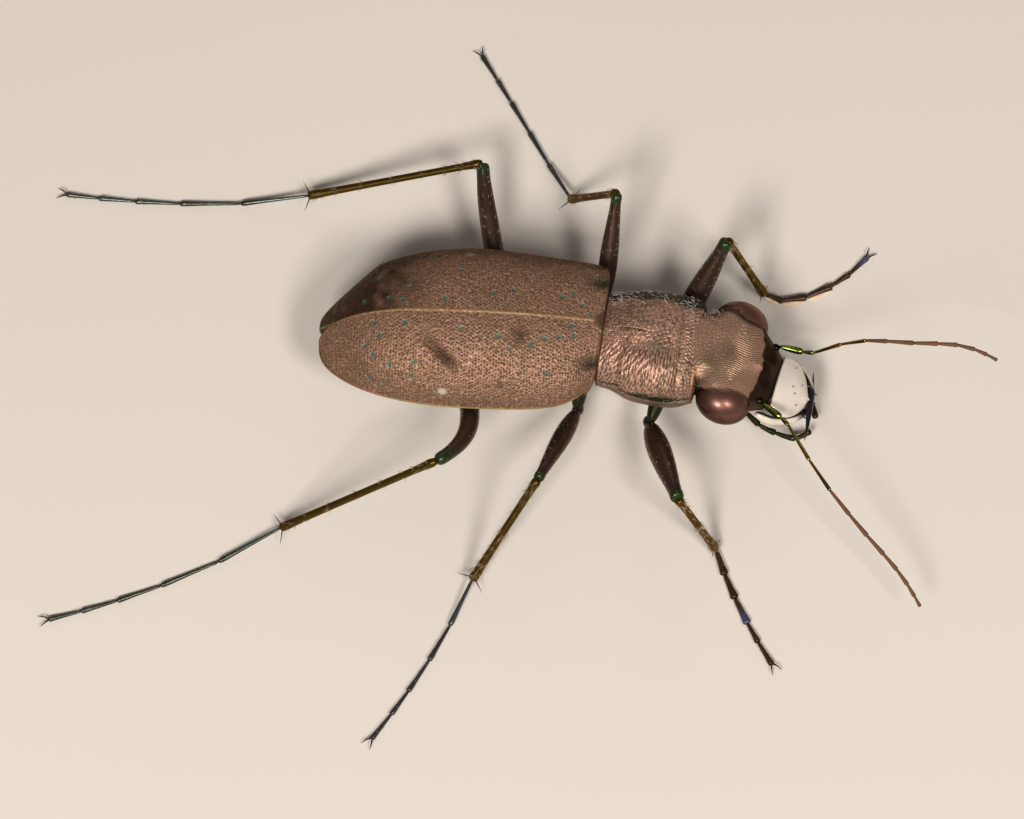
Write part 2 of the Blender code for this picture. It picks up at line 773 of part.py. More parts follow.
def build_leg(beetle, name, body_space):
    """Coxa, femur, tibia and tarsus of one leg, cut square at their joints."""
    pair, side_name = name.split("_")
    sizes, pose = LEG_SIZES[pair], LEG_POSES[name]
    hip, knee, ankle, thigh, shin = leg_joints(pose, sizes)
    foot = tarsus_path(ankle, sizes, pose, FOOT_REST)
    toe_ahead = (foot[2] - foot[0]).normalized()
    knee_cut = (thigh + shin).normalized()
    ankle_cut = (shin + toe_ahead).normalized()

    femur = tube("femur", *femur_line(hip, thigh, sizes))
    trim(femur, knee - knee_cut * GAP / 2, knee_cut)
    if pair in COXA_ROOTS:
        stance = PROTHORAX if pair == "front" else HIND_BODY
        x, y, z = COXA_ROOTS[pair]
        root = in_root(stance, (x, SIDES[side_name] * y, z))
        outward = (hip - root).normalized()
        hip_cut = (outward + thigh).normalized()
        middle = root.lerp(hip, 0.5)
        reach = hip + outward * TRIM_REACH
        coxa = tube("coxa", [root, middle, hip, reach], [*COXA_RADII, COXA_RADII[-1]])
        trim(coxa, hip - hip_cut * GAP / 2, hip_cut)
        trim(femur, hip + hip_cut * GAP / 2, -hip_cut)
        coxa_piece = beetle.place(f"{name}_coxa", coxa, "coxa")
        carve(coxa_piece, [body_space])
        settle(coxa_piece)
    femur_piece = beetle.place(f"{name}_femur", femur, "femur")
    if pair == "front":
        carve(femur_piece, [body_space])
        settle(femur_piece)

    top = knee - shin * TRIM_REACH
    bottom = ankle + shin * TRIM_REACH
    tibia = tube("tibia", [top, knee.lerp(ankle, 0.5), bottom], [LIMB] * 3)
    trim(tibia, knee + knee_cut * GAP / 2, -knee_cut)
    trim(tibia, ankle - ankle_cut * GAP / 2, ankle_cut)
    tibia_piece = beetle.place(f"{name}_tibia", tibia, "tibia")
    spurs = []
    across = Vector((-shin.y, shin.x, 0)).normalized()
    for turn in (-1, 1):
        spread = math.radians(SPUR_SPREAD)
        ahead = (shin * math.cos(spread) + across * turn * math.sin(spread)).normalized()
        start = ankle - shin * SPUR_HEIGHT
        mesh = cone("spur", start, ahead, sizes.spur, *SPUR_RADII)
        spurs.append(bpy.data.objects.new("spur", mesh))
        spurs[-1].parent = beetle.root
    fuse(tibia_piece, spurs)

    back = foot[0] - (foot[1] - foot[0]).normalized() * TRIM_REACH
    radii = [LIMB] * (len(foot) - len(TOE_TAPER)) + [radius for _, radius in TOE_TAPER]
    for point, (height, _) in zip(foot[-len(TOE_TAPER) :], TOE_TAPER):
        point.z = height
    tarsus = tube("tarsus", [back, *foot], [LIMB, *radii])
    trim(tarsus, ankle + ankle_cut * GAP / 2, -ankle_cut)
    tarsus_piece = beetle.place(f"{name}_tarsus", tarsus, "tarsus")
    claws = []
    for turn in (-1, 1):
        heading = pose.tarsus[1] + turn * CLAW_SPREAD
        start = foot[-1] - direction(pose.tarsus[1], 0) * CLAW_RADII[0]
        mesh = cone("claw", start, direction(heading, CLAW_DROP), CLAW_LENGTH, *CLAW_RADII)
        claws.append(bpy.data.objects.new("claw", mesh))
        claws[-1].parent = beetle.root
    fuse(tarsus_piece, claws)
    trim(tarsus_piece.data, Vector((0, 0, 0)), Vector((0, 0, -1)))


def main():
    """Builds the beetle, block by block."""
    clear_scene()
    beetle = Beetle()
    thorax, abdomen = build_trunk(beetle)
    prothorax = barrel("prothorax", PROTHORAX_SIZES)
    beetle.place("prothorax", prothorax, "prothorax", beetle.prothorax)

    prothorax_space = beetle.cutter(
        "prothorax_space", barrel("prothorax_space", PROTHORAX_SIZES, GAP), beetle.prothorax
    )
    thorax_space = beetle.cutter(
        "thorax_space", trunk("thorax_space", 0.0, THORAX_REAR, THORAX_ENDS, GAP), beetle.hind_body
    )
    head_space = beetle.cutter("head_space", barrel("head_space", HEAD_SIZES, GAP), beetle.head)

    build_head(beetle, prothorax_space)
    build_labrum(beetle)
    build_mouth(beetle, head_space)
    build_feelers(beetle, head_space)
    for name in LEG_POSES:
        build_leg(beetle, name, prothorax_space if name.startswith("front") else thorax_space)

    for name in ("hind_left", "hind_right"):
        pose, sizes = LEG_POSES[name], LEG_SIZES["hind"]
        hip, _, _, thigh, _ = leg_joints(pose, sizes)
        space = tube("space", *femur_line(hip, thigh, sizes, GAP))
        cutter = beetle.cutter(f"{name}_femur_space", space)
        carve(thorax, [cutter])
        carve(abdomen, [cutter])
    settle(thorax)
    settle(abdomen)


main()
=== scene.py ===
"""Looks of a one-spotted tiger beetle, a still life-size model on a plain pale floor.

Pieces are shaped in millimetres in the part's own frame and brought to metres
when they are finished: +X towards the head, +Y to the beetle's left, +Z up.
"""

import logging
import math
from collections.abc import Callable, Sequence
from dataclasses import dataclass, field
from enum import Enum
from functools import cache

import bpy
import numpy as np
from mathutils import Euler, Matrix, Vector
from mathutils.kdtree import KDTree
from numpy.random import Generator, default_rng

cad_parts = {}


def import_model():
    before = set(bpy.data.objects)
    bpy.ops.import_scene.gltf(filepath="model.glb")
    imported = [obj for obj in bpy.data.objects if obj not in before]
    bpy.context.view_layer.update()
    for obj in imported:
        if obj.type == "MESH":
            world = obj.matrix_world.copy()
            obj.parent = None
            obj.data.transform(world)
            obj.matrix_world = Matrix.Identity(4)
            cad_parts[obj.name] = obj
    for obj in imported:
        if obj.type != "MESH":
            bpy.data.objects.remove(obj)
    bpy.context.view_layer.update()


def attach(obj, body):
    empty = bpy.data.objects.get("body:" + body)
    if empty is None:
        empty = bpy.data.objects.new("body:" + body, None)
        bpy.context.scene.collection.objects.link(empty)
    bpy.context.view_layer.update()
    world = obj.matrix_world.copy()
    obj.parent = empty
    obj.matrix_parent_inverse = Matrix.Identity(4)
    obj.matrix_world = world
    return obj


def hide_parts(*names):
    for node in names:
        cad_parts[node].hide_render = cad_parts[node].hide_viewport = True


LOG = logging.getLogger("tiger_beetle")
MM = 0.001
SIDES = {"left": 1.0, "right": -1.0}

Colour = tuple[float, float, float]
Place = tuple[float, float, float]
Pair = tuple[float, float]
Row = tuple[float, ...]
Points = np.ndarray
Piece = bpy.types.Object
Skin = tuple[Piece, Points, Points]


# Small sums


def table(rows: dict) -> dict:
    """A dataclass field that holds a table, which is only read."""
    return field(default_factory=lambda: rows)


def through(values: Sequence[float], part: Points) -> Points:
    """The smooth curve through evenly spaced values.

    Args:
        values: Three or more values, from the start to the end.
        part: How far along, from 0 to 1.

    Returns:
        The value at each place.
    """
    if len(values) == 3:
        start, middle, end = values
        first, second = (1 - part) * (1 - 2 * part), part * (2 * part - 1)
        return start * first + 4 * middle * part * (1 - part) + end * second
    rows = np.stack([np.array(values), np.zeros(len(values))], axis=1)
    path = smooth_path(rows, 40 * len(values))[:, 0]
    return np.interp(part, np.linspace(0, 1, len(path)), path)


def step(low: float, high: float, value: Points) -> Points:
    """A smooth step.

    Args:
        low: Where it starts.
        high: Where it ends. Lower than low turns the step over.
        value: The numbers to grade.

    Returns:
        0 before low, 1 past high, and a smooth rise between them.
    """
    part = np.clip((value - low) / (high - low), 0, 1)
    return part * part * (3 - 2 * part)


def bump(value: Points, centre: float, width: float) -> Points:
    """A soft hump of height 1 at centre, width being its half width."""
    return np.exp(-(((value - centre) / width) ** 2))


@dataclass(frozen=True)
class Swell:
    """A soft hump in a surface, or a hollow where its height is below 0.

    along and across each hold its middle and its half width on their own scale.
    """

    height: float
    along: Pair
    across: Pair

    def rise(self, along: Points, across: Points) -> Points:
        """How high it stands at each place."""
        return self.height * bump(along, *self.along) * bump(across, *self.across)


def ripple(points: Points, scale: float, seed: int, waves: int = 8) -> Points:
    """Smooth uneven waves through space, the same on each run.

    Args:
        points: Places, in millimetres.
        scale: Waves per millimetre, roughly, times two pi.
        seed: Number that names this set of waves.
        waves: How many waves are added.

    Returns:
        A value from about -1 to 1 at each place.
    """
    draw = default_rng(seed)
    total = np.zeros(len(points))
    for _ in range(waves):
        way = draw.normal(size=3)
        way *= scale * draw.uniform(0.6, 1.5) / np.linalg.norm(way)
        total += np.sin(points @ way + draw.uniform(0, 2 * math.pi))
    return total * 1.6 / waves


def wrinkles(
    points: Points, way: Callable[[Points], Points], width: float, reach: int, seed: int
) -> Points:
    """Uneven ridges drawn out along a field of directions.

    Args:
        points: Places, in millimetres.
        way: Gives the direction of the ridges at any places.
        width: From ridge to ridge, roughly.
        reach: How many steps each way a ridge is drawn out.
        seed: Number that names this set of ridges.

    Returns:
        A height from -1 to 1 at each place.
    """
    total = np.zeros(len(points))
    for turn in (1, -1):
        here = points.copy()
        for _ in range(reach):
            total += ripple(here, 2 * math.pi / width, seed, 26)
            here = here + turn * 0.3 * width * way(here)
    return np.tanh(total / total.std())


def heading(turn: float, rise: float) -> Vector:
    """Unit vector from a turn about +Z and a rise, in degrees."""
    a, b = math.radians(turn), math.radians(rise)
    return Vector((math.cos(b) * math.cos(a), math.cos(b) * math.sin(a), math.sin(b)))


def frame_along(origin: Vector, ahead: Vector, up: Vector = Vector((0, 0, 1))) -> Matrix:
    """A matrix whose X runs ahead from origin, with its Z as near to up as it can be."""
    x = ahead.normalized()
    y = up.cross(x)
    y = y.normalized() if y.length > 1e-6 else Vector((0, 1, 0))
    z = x.cross(y)
    matrix = Matrix((x, y, z)).transposed().to_4x4()
    matrix.translation = origin
    return matrix


def smooth_path(points: Sequence[Sequence[float]], count: int) -> Points:
    """Evenly read points of the smooth curve through a few named ones.

    Args:
        points: The named points.
        count: How many points to read.

    Returns:
        An array of count points.
    """
    named = np.array(points, float)
    ends = np.vstack([2 * named[0] - named[1], named, 2 * named[-1] - named[-2]])
    places = np.linspace(0, len(named) - 1, count)
    index = np.minimum(places.astype(int), len(named) - 2)
    t = (places - index)[:, None]
    a, b, c, d = (ends[index + k] for k in range(4))
    return 0.5 * (
        2 * b
        + (c - a) * t
        + (2 * a - 5 * b + 4 * c - d) * t**2
        + (3 * b - a - 3 * c + d) * t**3
    )


@dataclass(frozen=True)
class Stance:
    """Where a block of the body stands: its place, its yaw and its pitch."""

    place: Place
    yaw: float
    pitch: float = 0.0

    def matrix(self) -> Matrix:
        """The block's frame in the frame of the part."""
        turn = Euler((0, math.radians(self.pitch), math.radians(self.yaw)), "XYZ")
        return Matrix.Translation(self.place) @ turn.to_matrix().to_4x4()

    def move(self, points: Points) -> Points:
        """Points of the block's frame, in the frame of the part."""
        matrix = np.array(self.matrix())
        return points @ matrix[:3, :3].T + matrix[:3, 3]


HIND_BODY = Stance((2.72, 0.67, 0.0), -2.4)
PROTHORAX = Stance((3.08, 0.62, 0.0), -9.0)
HEAD = Stance((7.1, -0.19, 2.52), -16.7, 15.0)


# Shaders


class Shade:
    """A socket of a material, so that its sums read as Python."""

    def __init__(self, board: "Board", socket: bpy.types.NodeSocket) -> None:
        """Keeps the board that the socket is on, and the socket."""
        self.board = board
        self.socket = socket

    def _sum(self, operation: str, first: "Shade | float", second: "Shade | float") -> "Shade":
        """One Math node on two values."""
        return self.board.node("ShaderNodeMath", {"operation": operation}, {0: first, 1: second})

    def __add__(self, other: "Shade | float") -> "Shade":
        """Self plus other."""
        return self._sum("ADD", self, other)

    def __sub__(self, other: "Shade | float") -> "Shade":
        """Self minus other."""
        return self._sum("SUBTRACT", self, other)

    def __rsub__(self, other: float) -> "Shade":
        """Other minus self."""
        return self._sum("SUBTRACT", other, self)

    def __mul__(self, other: "Shade | float") -> "Shade":
        """Self times other."""
        return self._sum("MULTIPLY", self, other)

    __radd__ = __add__
    __rmul__ = __mul__

    def ranged(
        self, low: float, high: float, to_low: float = 0.0, to_high: float = 1.0
    ) -> "Shade":
        """The value brought from one range to another and held inside it."""
        sizes = {"Value": self, "From Min": low, "From Max": high}
        sizes |= {"To Min": to_low, "To Max": to_high}
        return self.board.node("ShaderNodeMapRange", {}, sizes)


class Board:
    """A material that is being made."""

    def __init__(self, name: str) -> None:
        """Starts a material with a single surface shader."""
        self.material = bpy.data.materials.new(name)
        self.material.use_nodes = True
        self.tree = self.material.node_tree
        self.surface = self.tree.nodes["Principled BSDF"]

    def node(
        self, kind: str, settings: dict[str, object] | None = None,
        inputs: dict[str | int, object] | None = None, output: int | str = 0,
    ) -> Shade:
        """Adds a node.

        Args:
            kind: The node's type.
            settings: Its own settings, set first.
            inputs: A value or a Shade for each named or numbered socket.
            output: Which of its outputs to return.

        Returns:
            The output.
        """
        made = self.tree.nodes.new(kind)
        for key, value in (settings or {}).items():
            setattr(made, key, value)
        for key, value in (inputs or {}).items():
            self.plug(made.inputs[key], value)
        return Shade(self, made.outputs[output])

    def plug(self, socket: bpy.types.NodeSocket, value: object) -> None:
        """Gives a socket a value or a link."""
        if isinstance(value, Shade):
            self.tree.links.new(value.socket, socket)
        elif isinstance(value, tuple) and len(value) == 3 and socket.type == "RGBA":
            socket.default_value = (*value, 1)
        else:
            socket.default_value = value

    def mix(
        self, factor: "Shade | float", first: "Shade | Colour", second: "Shade | Colour"
    ) -> Shade:
        """A colour part of the way from first to second."""
        inputs = {0: factor, 6: first, 7: second}
        return self.node("ShaderNodeMix", {"data_type": "RGBA"}, inputs, 2)

    def places(self) -> Shade:
        """Object coordinates, in metres."""
        return self.node("ShaderNodeTexCoord", output="Object")

    def noise(self, per_mm: float, detail: float = 3.0) -> Shade:
        """Soft noise with about per_mm patches in a millimetre, from 0 to 1."""
        inputs = {"Vector": self.places(), "Scale": per_mm / MM, "Detail": detail}
        return self.node("ShaderNodeTexNoise", {}, inputs)

    def painted(self, name: str) -> Shade:
        """A value painted on the piece's points."""
        return self.node("ShaderNodeAttribute", {"attribute_name": name}, output="Fac")


@dataclass(frozen=True)
class Cuticle:
    """The finish of a hard skin: metallic, mottled, darker where it is deep.

    deep, patch, smudge, edge, shade and spot are the colours where the piece is
    painted so. deep is painted shade in hollows, furrows, seams and pits and on sides
    turned away, and the own dark colour of joints, claws and pores. On the covers, smudge
    carries painted shade besides the brown blots. edge is a painted highlight on the
    crown's brow. shade is painted shade, besides some dark skin of the piece's own. speck
    is partly pale granules and partly painted glints. rim is the other colour of its edge,
    if it has two.
    """

    name: str
    colour: Colour
    mottle: Colour
    speck: Colour = (0.5, 0.3, 0.22)
    deep: Colour = (0.02, 0.02, 0.02)
    patch: Colour = (0.02, 0.1, 0.09)
    smudge: Colour = (0.05, 0.025, 0.018)
    edge: Colour = (0.2, 0.2, 0.05)
    rim: Colour | None = None
    shade: Colour = (0.012, 0.018, 0.008)
    spot: Colour = (0.5, 0.44, 0.34)
    mottle_per_mm: float = 1.2
    mottle_amount: float = 0.6
    speck_amount: float = 0.0
    roughness: float = 0.4
    roughness_spread: float = 0.12
    metallic: float = 0.5
    specular: float = 0.25
    sheen_colour: Colour = (0.75, 0.55, 0.45)
    coat: float = 0.0
    coat_roughness: float = 0.08
    grain_per_mm: float = 30.0
    grain_depth: float = 0.004
    specks_per_mm: float = 11.0
    border_per_mm: float = 0.35

    @cache
    def material(self) -> bpy.types.Material:
        """The finish as a material, made once."""
        board = Board(f"{self.name}_cuticle")
        patches = board.noise(self.mottle_per_mm, 4.0).ranged(0.38, 0.62)
        grain = board.noise(self.grain_per_mm, 2.0)
        colour = board.mix(patches * self.mottle_amount, self.colour, self.mottle)
        # Pale specks: partly pale granules, partly painted glints.
        if self.speck_amount:
            specks = board.noise(self.specks_per_mm, 1.0)
            specks = specks.ranged(0.52, 0.68, 0.0, self.speck_amount)
            colour = board.mix(specks, colour, self.speck)
        change = board.noise(self.border_per_mm, 1.0).ranged(0.45, 0.6)
        borders = board.mix(change, self.edge, self.rim or self.edge)
        for layer in ("smudge", "deep", "patch", "edge", "shade", "spot"):
            target = borders if layer == "edge" else getattr(self, layer)
            colour = board.mix(board.painted(layer), colour, target)
        surface = board.surface.inputs
        board.plug(surface["Base Color"], colour)
        rough = grain * self.roughness_spread + (self.roughness - self.roughness_spread / 2)
        board.plug(surface["Roughness"], rough)
        metal = board.painted("spot") * -self.metallic + self.metallic
        board.plug(surface["Metallic"], metal)
        surface["Specular IOR Level"].default_value = self.specular
        surface["Specular Tint"].default_value = (*self.sheen_colour, 1)
        surface["Coat Weight"].default_value = self.coat
        surface["Coat Roughness"].default_value = self.coat_roughness
        height = {"Height": grain, "Distance": self.grain_depth * MM, "Strength": 1.0}
        board.plug(surface["Normal"], board.node("ShaderNodeBump", {}, height))
        return board.material


@dataclass(frozen=True)
class Bristle:
    """The finish of hairs: pale, a little glossy, browner towards some of them."""

    name: str
    colour: Colour
    other: Colour
    change_per_mm: float = 3.0
    roughness: float = 0.45
    roughness_spread: float = 0.15

    @cache
    def material(self) -> bpy.types.Material:
        """The finish as a material, made once."""
        board = Board(f"{self.name}_bristle")
        change = board.noise(self.change_per_mm, 1.0).ranged(0.35, 0.65)
        board.plug(board.surface.inputs["Base Color"], board.mix(change, self.colour, self.other))
        rough = change * self.roughness_spread + self.roughness
        board.plug(board.surface.inputs["Roughness"], rough)
        return board.material


@dataclass(frozen=True)
class Ground:
    """The plain pale floor."""

    name: str = "pale_floor"
    colour: Colour = (0.72, 0.63, 0.54)
    darkening: float = 0.96
    clouds_per_mm: float = 0.02
    roughness: float = 0.75

    def material(self) -> bpy.types.Material:
        """The finish as a material."""
        board = Board(self.name)
        soft = board.noise(self.clouds_per_mm, 2.0).ranged(0.3, 0.7)
        darker = tuple(self.darkening * value for value in self.colour)
        board.plug(board.surface.inputs["Base Color"], board.mix(soft, self.colour, darker))
        board.surface.inputs["Roughness"].default_value = self.roughness
        return board.material


class Finish(Enum):
    """The finishes of the beetle's own pieces."""

    # Cover: smudge paints brown blots and painted shade; specks are partly painted glints.
    COVER = Cuticle(
        "cover", colour=(0.27, 0.138, 0.083), mottle=(0.205, 0.12, 0.064),
        speck=(0.62, 0.37, 0.28), deep=(0.018, 0.013, 0.01), patch=(0.07, 0.17, 0.14),
        smudge=(0.036, 0.016, 0.008), edge=(0.3, 0.28, 0.04), rim=(0.4, 0.12, 0.04),
        shade=(0.012, 0.02, 0.01), speck_amount=0.4, roughness=0.5, metallic=0.35,
        sheen_colour=(0.7, 0.5, 0.38),
    )
    # Pronotum: specks are partly pale granules, partly painted glints.
    PRONOTUM = Cuticle(
        "pronotum", colour=(0.52, 0.275, 0.19), mottle=(0.34, 0.205, 0.12),
        speck=(0.8, 0.47, 0.36), deep=(0.03, 0.02, 0.013), patch=(0.012, 0.022, 0.008),
        smudge=(0.13, 0.1, 0.045), edge=(0.2, 0.06, 0.02), rim=(0.09, 0.02, 0.012),
        spot=(0.075, 0.045, 0.027), speck_amount=0.4, roughness=0.42,
    )
    # Crown: edge is a painted highlight along the brow; specks are partly painted glints.
    VERTEX = Cuticle(
        "vertex", colour=(0.48, 0.25, 0.165), mottle=(0.31, 0.195, 0.11), speck=(0.7, 0.4, 0.32),
        deep=(0.035, 0.025, 0.015), patch=(0.012, 0.022, 0.008), smudge=(0.11, 0.11, 0.05),
        edge=(0.55, 0.27, 0.2), shade=(0.016, 0.008, 0.004), mottle_per_mm=0.9, speck_amount=0.3,
    )
    CLYPEUS = Cuticle(
        "clypeus", colour=(0.018, 0.008, 0.006), mottle=(0.16, 0.03, 0.05), mottle_per_mm=1.5,
        mottle_amount=0.3, roughness=0.22, metallic=0.6,
    )
    DARK_SKIN = Cuticle(
        "dark_skin", colour=(0.014, 0.014, 0.007), mottle=(0.035, 0.022, 0.012),
        deep=(0.006, 0.006, 0.005), roughness=0.34, metallic=0.3, sheen_colour=(0.5, 0.42, 0.3),
    )
    EYE = Cuticle(
        "eye", colour=(0.19, 0.085, 0.062), mottle=(0.11, 0.045, 0.032),
        deep=(0.03, 0.012, 0.007), mottle_per_mm=1.0, roughness=0.36, roughness_spread=0.04,
        metallic=0.75, coat=0.2, grain_per_mm=60.0, grain_depth=0.001,
    )
    IVORY = Cuticle(
        "ivory", colour=(0.68, 0.58, 0.48), mottle=(0.6, 0.5, 0.4), deep=(0.03, 0.015, 0.01),
        edge=(0.2, 0.12, 0.07), mottle_amount=0.5, roughness=0.36, metallic=0.0, coat=0.25,
    )
    JAW = Cuticle(
        "jaw", colour=(0.012, 0.015, 0.02), mottle=(0.02, 0.013, 0.013), edge=(0.09, 0.04, 0.02),
        spot=(0.66, 0.56, 0.45), roughness=0.2, roughness_spread=0.05, metallic=0.3, coat=0.5,
    )
    PALP = Cuticle(
        "palp", colour=(0.012, 0.021, 0.004), mottle=(0.03, 0.028, 0.009),
        smudge=(0.05, 0.025, 0.012), roughness=0.22, metallic=0.6,
    )
    # Feeler base: deep is partly stripes, partly painted shade; patch partly copper, partly
    # glints.
    FEELER_BASE = Cuticle(
        "feeler_base", colour=(0.34, 0.36, 0.06), mottle=(0.12, 0.2, 0.04),
        deep=(0.008, 0.011, 0.005), patch=(0.5, 0.16, 0.04), mottle_per_mm=1.6, roughness=0.22,
        metallic=1.0,
    )
    WHIP = Cuticle(
        "whip", colour=(0.15, 0.065, 0.03), mottle=(0.1, 0.05, 0.026), deep=(0.04, 0.02, 0.012),
        roughness=0.55, metallic=0.05,
    )
    FEMUR = Cuticle(
        "femur", colour=(0.058, 0.03, 0.017), mottle=(0.07, 0.04, 0.034),
        deep=(0.006, 0.006, 0.005), patch=(0.02, 0.055, 0.015), edge=(0.006, 0.006, 0.006),
        roughness=0.3, metallic=0.6, coat=0.15, grain_depth=0.008,
    )
    SHIN = Cuticle(
        "shin", colour=(0.085, 0.056, 0.009), mottle=(0.09, 0.036, 0.009),
        deep=(0.01, 0.01, 0.006), roughness=0.28, metallic=0.75, sheen_colour=(0.6, 0.42, 0.22),
    )
    FOOT_TEAL = Cuticle(
        "foot_teal", colour=(0.055, 0.055, 0.035), mottle=(0.07, 0.1, 0.09),
        deep=(0.02, 0.012, 0.008), coat=0.2, roughness=0.28, metallic=0.75,
    )
    FOOT_STEEL = Cuticle(
        "foot_steel", colour=(0.075, 0.075, 0.08), mottle=(0.06, 0.05, 0.045),
        deep=(0.02, 0.012, 0.008), coat=0.2, roughness=0.28, metallic=0.75,
    )
    FOOT_BROWN = Cuticle(
        "foot_brown", colour=(0.05, 0.028, 0.018), mottle=(0.07, 0.045, 0.025),
        deep=(0.015, 0.008, 0.006), patch=(0.12, 0.11, 0.22), roughness=0.3, metallic=0.6,
    )
    SPINE = Cuticle(
        "spine", colour=(0.05, 0.022, 0.012), mottle=(0.1, 0.05, 0.025), roughness=0.35,
        metallic=0.1,
    )
    WHITE_HAIR = Bristle("white_hair", (0.78, 0.74, 0.66), (0.6, 0.54, 0.45))
    BROWN_HAIR = Bristle("brown_hair", (0.35, 0.22, 0.12), (0.55, 0.42, 0.28))
    CREAM_PAD = Bristle("cream_pad", (0.72, 0.47, 0.26), (0.8, 0.62, 0.42))


# The bench: ways of working that every piece shares


def take(obj: Piece) -> None:
    """Selects one object and nothing else."""
    bpy.ops.object.select_all(action="DESELECT")
    obj.select_set(True)
    bpy.context.view_layer.objects.active = obj


def fresh(name: str, primitive: Callable[..., object], **sizes: object) -> Piece:
    """Adds a primitive under a name, with nothing else selected."""
    bpy.ops.object.select_all(action="DESELECT")
    primitive(**sizes)
    bpy.context.object.name = name
    return bpy.context.object


def ball(name: str, segments: int, rings: int) -> Piece:
    """A unit sphere with its poles on Z, to be shaped further."""
    add = bpy.ops.mesh.primitive_uv_sphere_add
    return fresh(name, add, segments=segments, ring_count=rings, radius=1)


def sheet(name: str, columns: int, rows: int) -> Piece:
    """A unit sheet round the origin, to be shaped further."""
    add = bpy.ops.mesh.primitive_grid_add
    return fresh(name, add, x_subdivisions=columns, y_subdivisions=rows, size=1)


def turned(name: str, profile: Sequence[Row], sides: int = 12, levels: int = 1) -> Piece:
    """A straight limb along +X, grown ring by ring from a disc.

    Args:
        name: The object's name.
        profile: Place along X and radius of each ring, and for a flattened
            ring its height too.
        sides: Points in a ring.
        levels: How often the limb is subdivided.

    Returns:
        The limb.
    """
    x, radius = profile[0][:2]
    obj = fresh(
        name,
        bpy.ops.mesh.primitive_circle_add,
        vertices=sides,
        radius=radius,
        fill_type="NGON",
        location=(x, 0, 0),
        rotation=(0, math.radians(90), 0),
    )
    bpy.ops.object.transform_apply(location=True, rotation=True, scale=True)
    bpy.ops.object.mode_set(mode="EDIT")
    bpy.ops.mesh.select_all(action="SELECT")
    width, height = radius, radius
    for ring in profile[1:]:
        new_width, new_height = ring[1], ring[-1]
        bpy.ops.mesh.extrude_region_move(
            TRANSFORM_OT_translate={"value": (ring[0] - x, 0, 0)}
        )
        bpy.ops.transform.resize(
            value=(1, new_width / width, new_height / height),
            center_override=(ring[0], 0, 0),
        )
        x, width, height = ring[0], new_width, new_height
    bpy.ops.mesh.select_all(action="SELECT")
    bpy.ops.mesh.normals_make_consistent(inside=False)
    bpy.ops.object.mode_set(mode="OBJECT")
    smooth = obj.modifiers.new("smooth", "SUBSURF")
    smooth.levels = smooth.render_levels = levels
    bpy.ops.object.modifier_apply(modifier=smooth.name)
    return obj


def points_of(obj: Piece) -> Points:
    """The object's points, one row each."""
    points = np.empty(len(obj.data.vertices) * 3)
    obj.data.vertices.foreach_get("co", points)
    return points.reshape(-1, 3)


def set_points(obj: Piece, points: Points) -> None:
    """Moves the object's points."""
    obj.data.vertices.foreach_set("co", np.ascontiguousarray(points, float).ravel())
    obj.data.update()


def normals_of(obj: Piece) -> Points:
    """The outward direction at each point."""
    normals = np.empty(len(obj.data.vertices) * 3)
    obj.data.vertex_normals.foreach_get("vector", normals)
    return normals.reshape(-1, 3)


def paint(obj: Piece, name: str, values: Points | float) -> None:
    """Paints a value from 0 to 1 on each point."""
    layer = obj.data.attributes.get(name) or obj.data.attributes.new(name, "FLOAT", "POINT")
    whole = np.ones(len(layer.data)) * np.clip(values, 0, 1)
    layer.data.foreach_set("value", whole.astype(np.float32))


def squared(unit: Points, power: float) -> Points:
    """A unit ball's points on a rounded box, squarer for a higher power."""
    return unit / (np.abs(unit) ** power).sum(axis=1, keepdims=True) ** (1 / power)


def turn_outward(obj: Piece) -> None:
    """Turns all faces of an object outward."""
    take(obj)
    bpy.ops.object.mode_set(mode="EDIT")
    bpy.ops.mesh.select_all(action="SELECT")
    bpy.ops.mesh.normals_make_consistent(inside=False)
    bpy.ops.object.mode_set(mode="OBJECT")


def copy_of(template: Piece, matrix: Matrix) -> Piece:
    """A copy with its own mesh, put in place by the matrix."""
    made = bpy.data.objects.new(template.name, template.data.copy())
    bpy.context.scene.collection.objects.link(made)
    made.data.transform(matrix)
    if matrix.determinant() < 0:
        made.data.flip_normals()
    return made


def bend_along(obj: Piece, path: Points) -> None:
    """Bends a limb that runs from 0 to 1 along X onto a path, keeping its thickness."""
    points = points_of(obj)
    ahead = np.gradient(path, axis=0)
    ahead /= np.linalg.norm(ahead, axis=1)[:, None]
    across = np.cross([0.0, 0.0, 1.0], ahead)
    across /= np.linalg.norm(across, axis=1)[:, None]
    above = np.cross(ahead, across)
    place = np.clip(points[:, 0], 0, 1) * (len(path) - 1)
    past = points[:, 0] - np.clip(points[:, 0], 0, 1)
    index = np.minimum(place.astype(int), len(path) - 2)
    rest = (place - index)[:, None]

    def at(rows: Points) -> Points:
        """Rows read between the path's points."""
        return rows[index] * (1 - rest) + rows[index + 1] * rest

    set_points(
        obj,
        at(path)
        + at(across) * points[:, 1:2]
        + at(above) * points[:, 2:3]
        + at(ahead) * past[:, None],
    )


def join(objects: Sequence[Piece], name: str) -> Piece:
    """Joins objects into the first of them."""
    take(objects[0])
    for obj in objects[1:]:
        obj.select_set(True)
    if len(objects) > 1:
        bpy.ops.object.join()
    objects[0].name = name
    return objects[0]


def drop(*templates: Piece) -> None:
    """Removes templates that have been copied."""
    for template in templates:
        bpy.data.objects.remove(template)


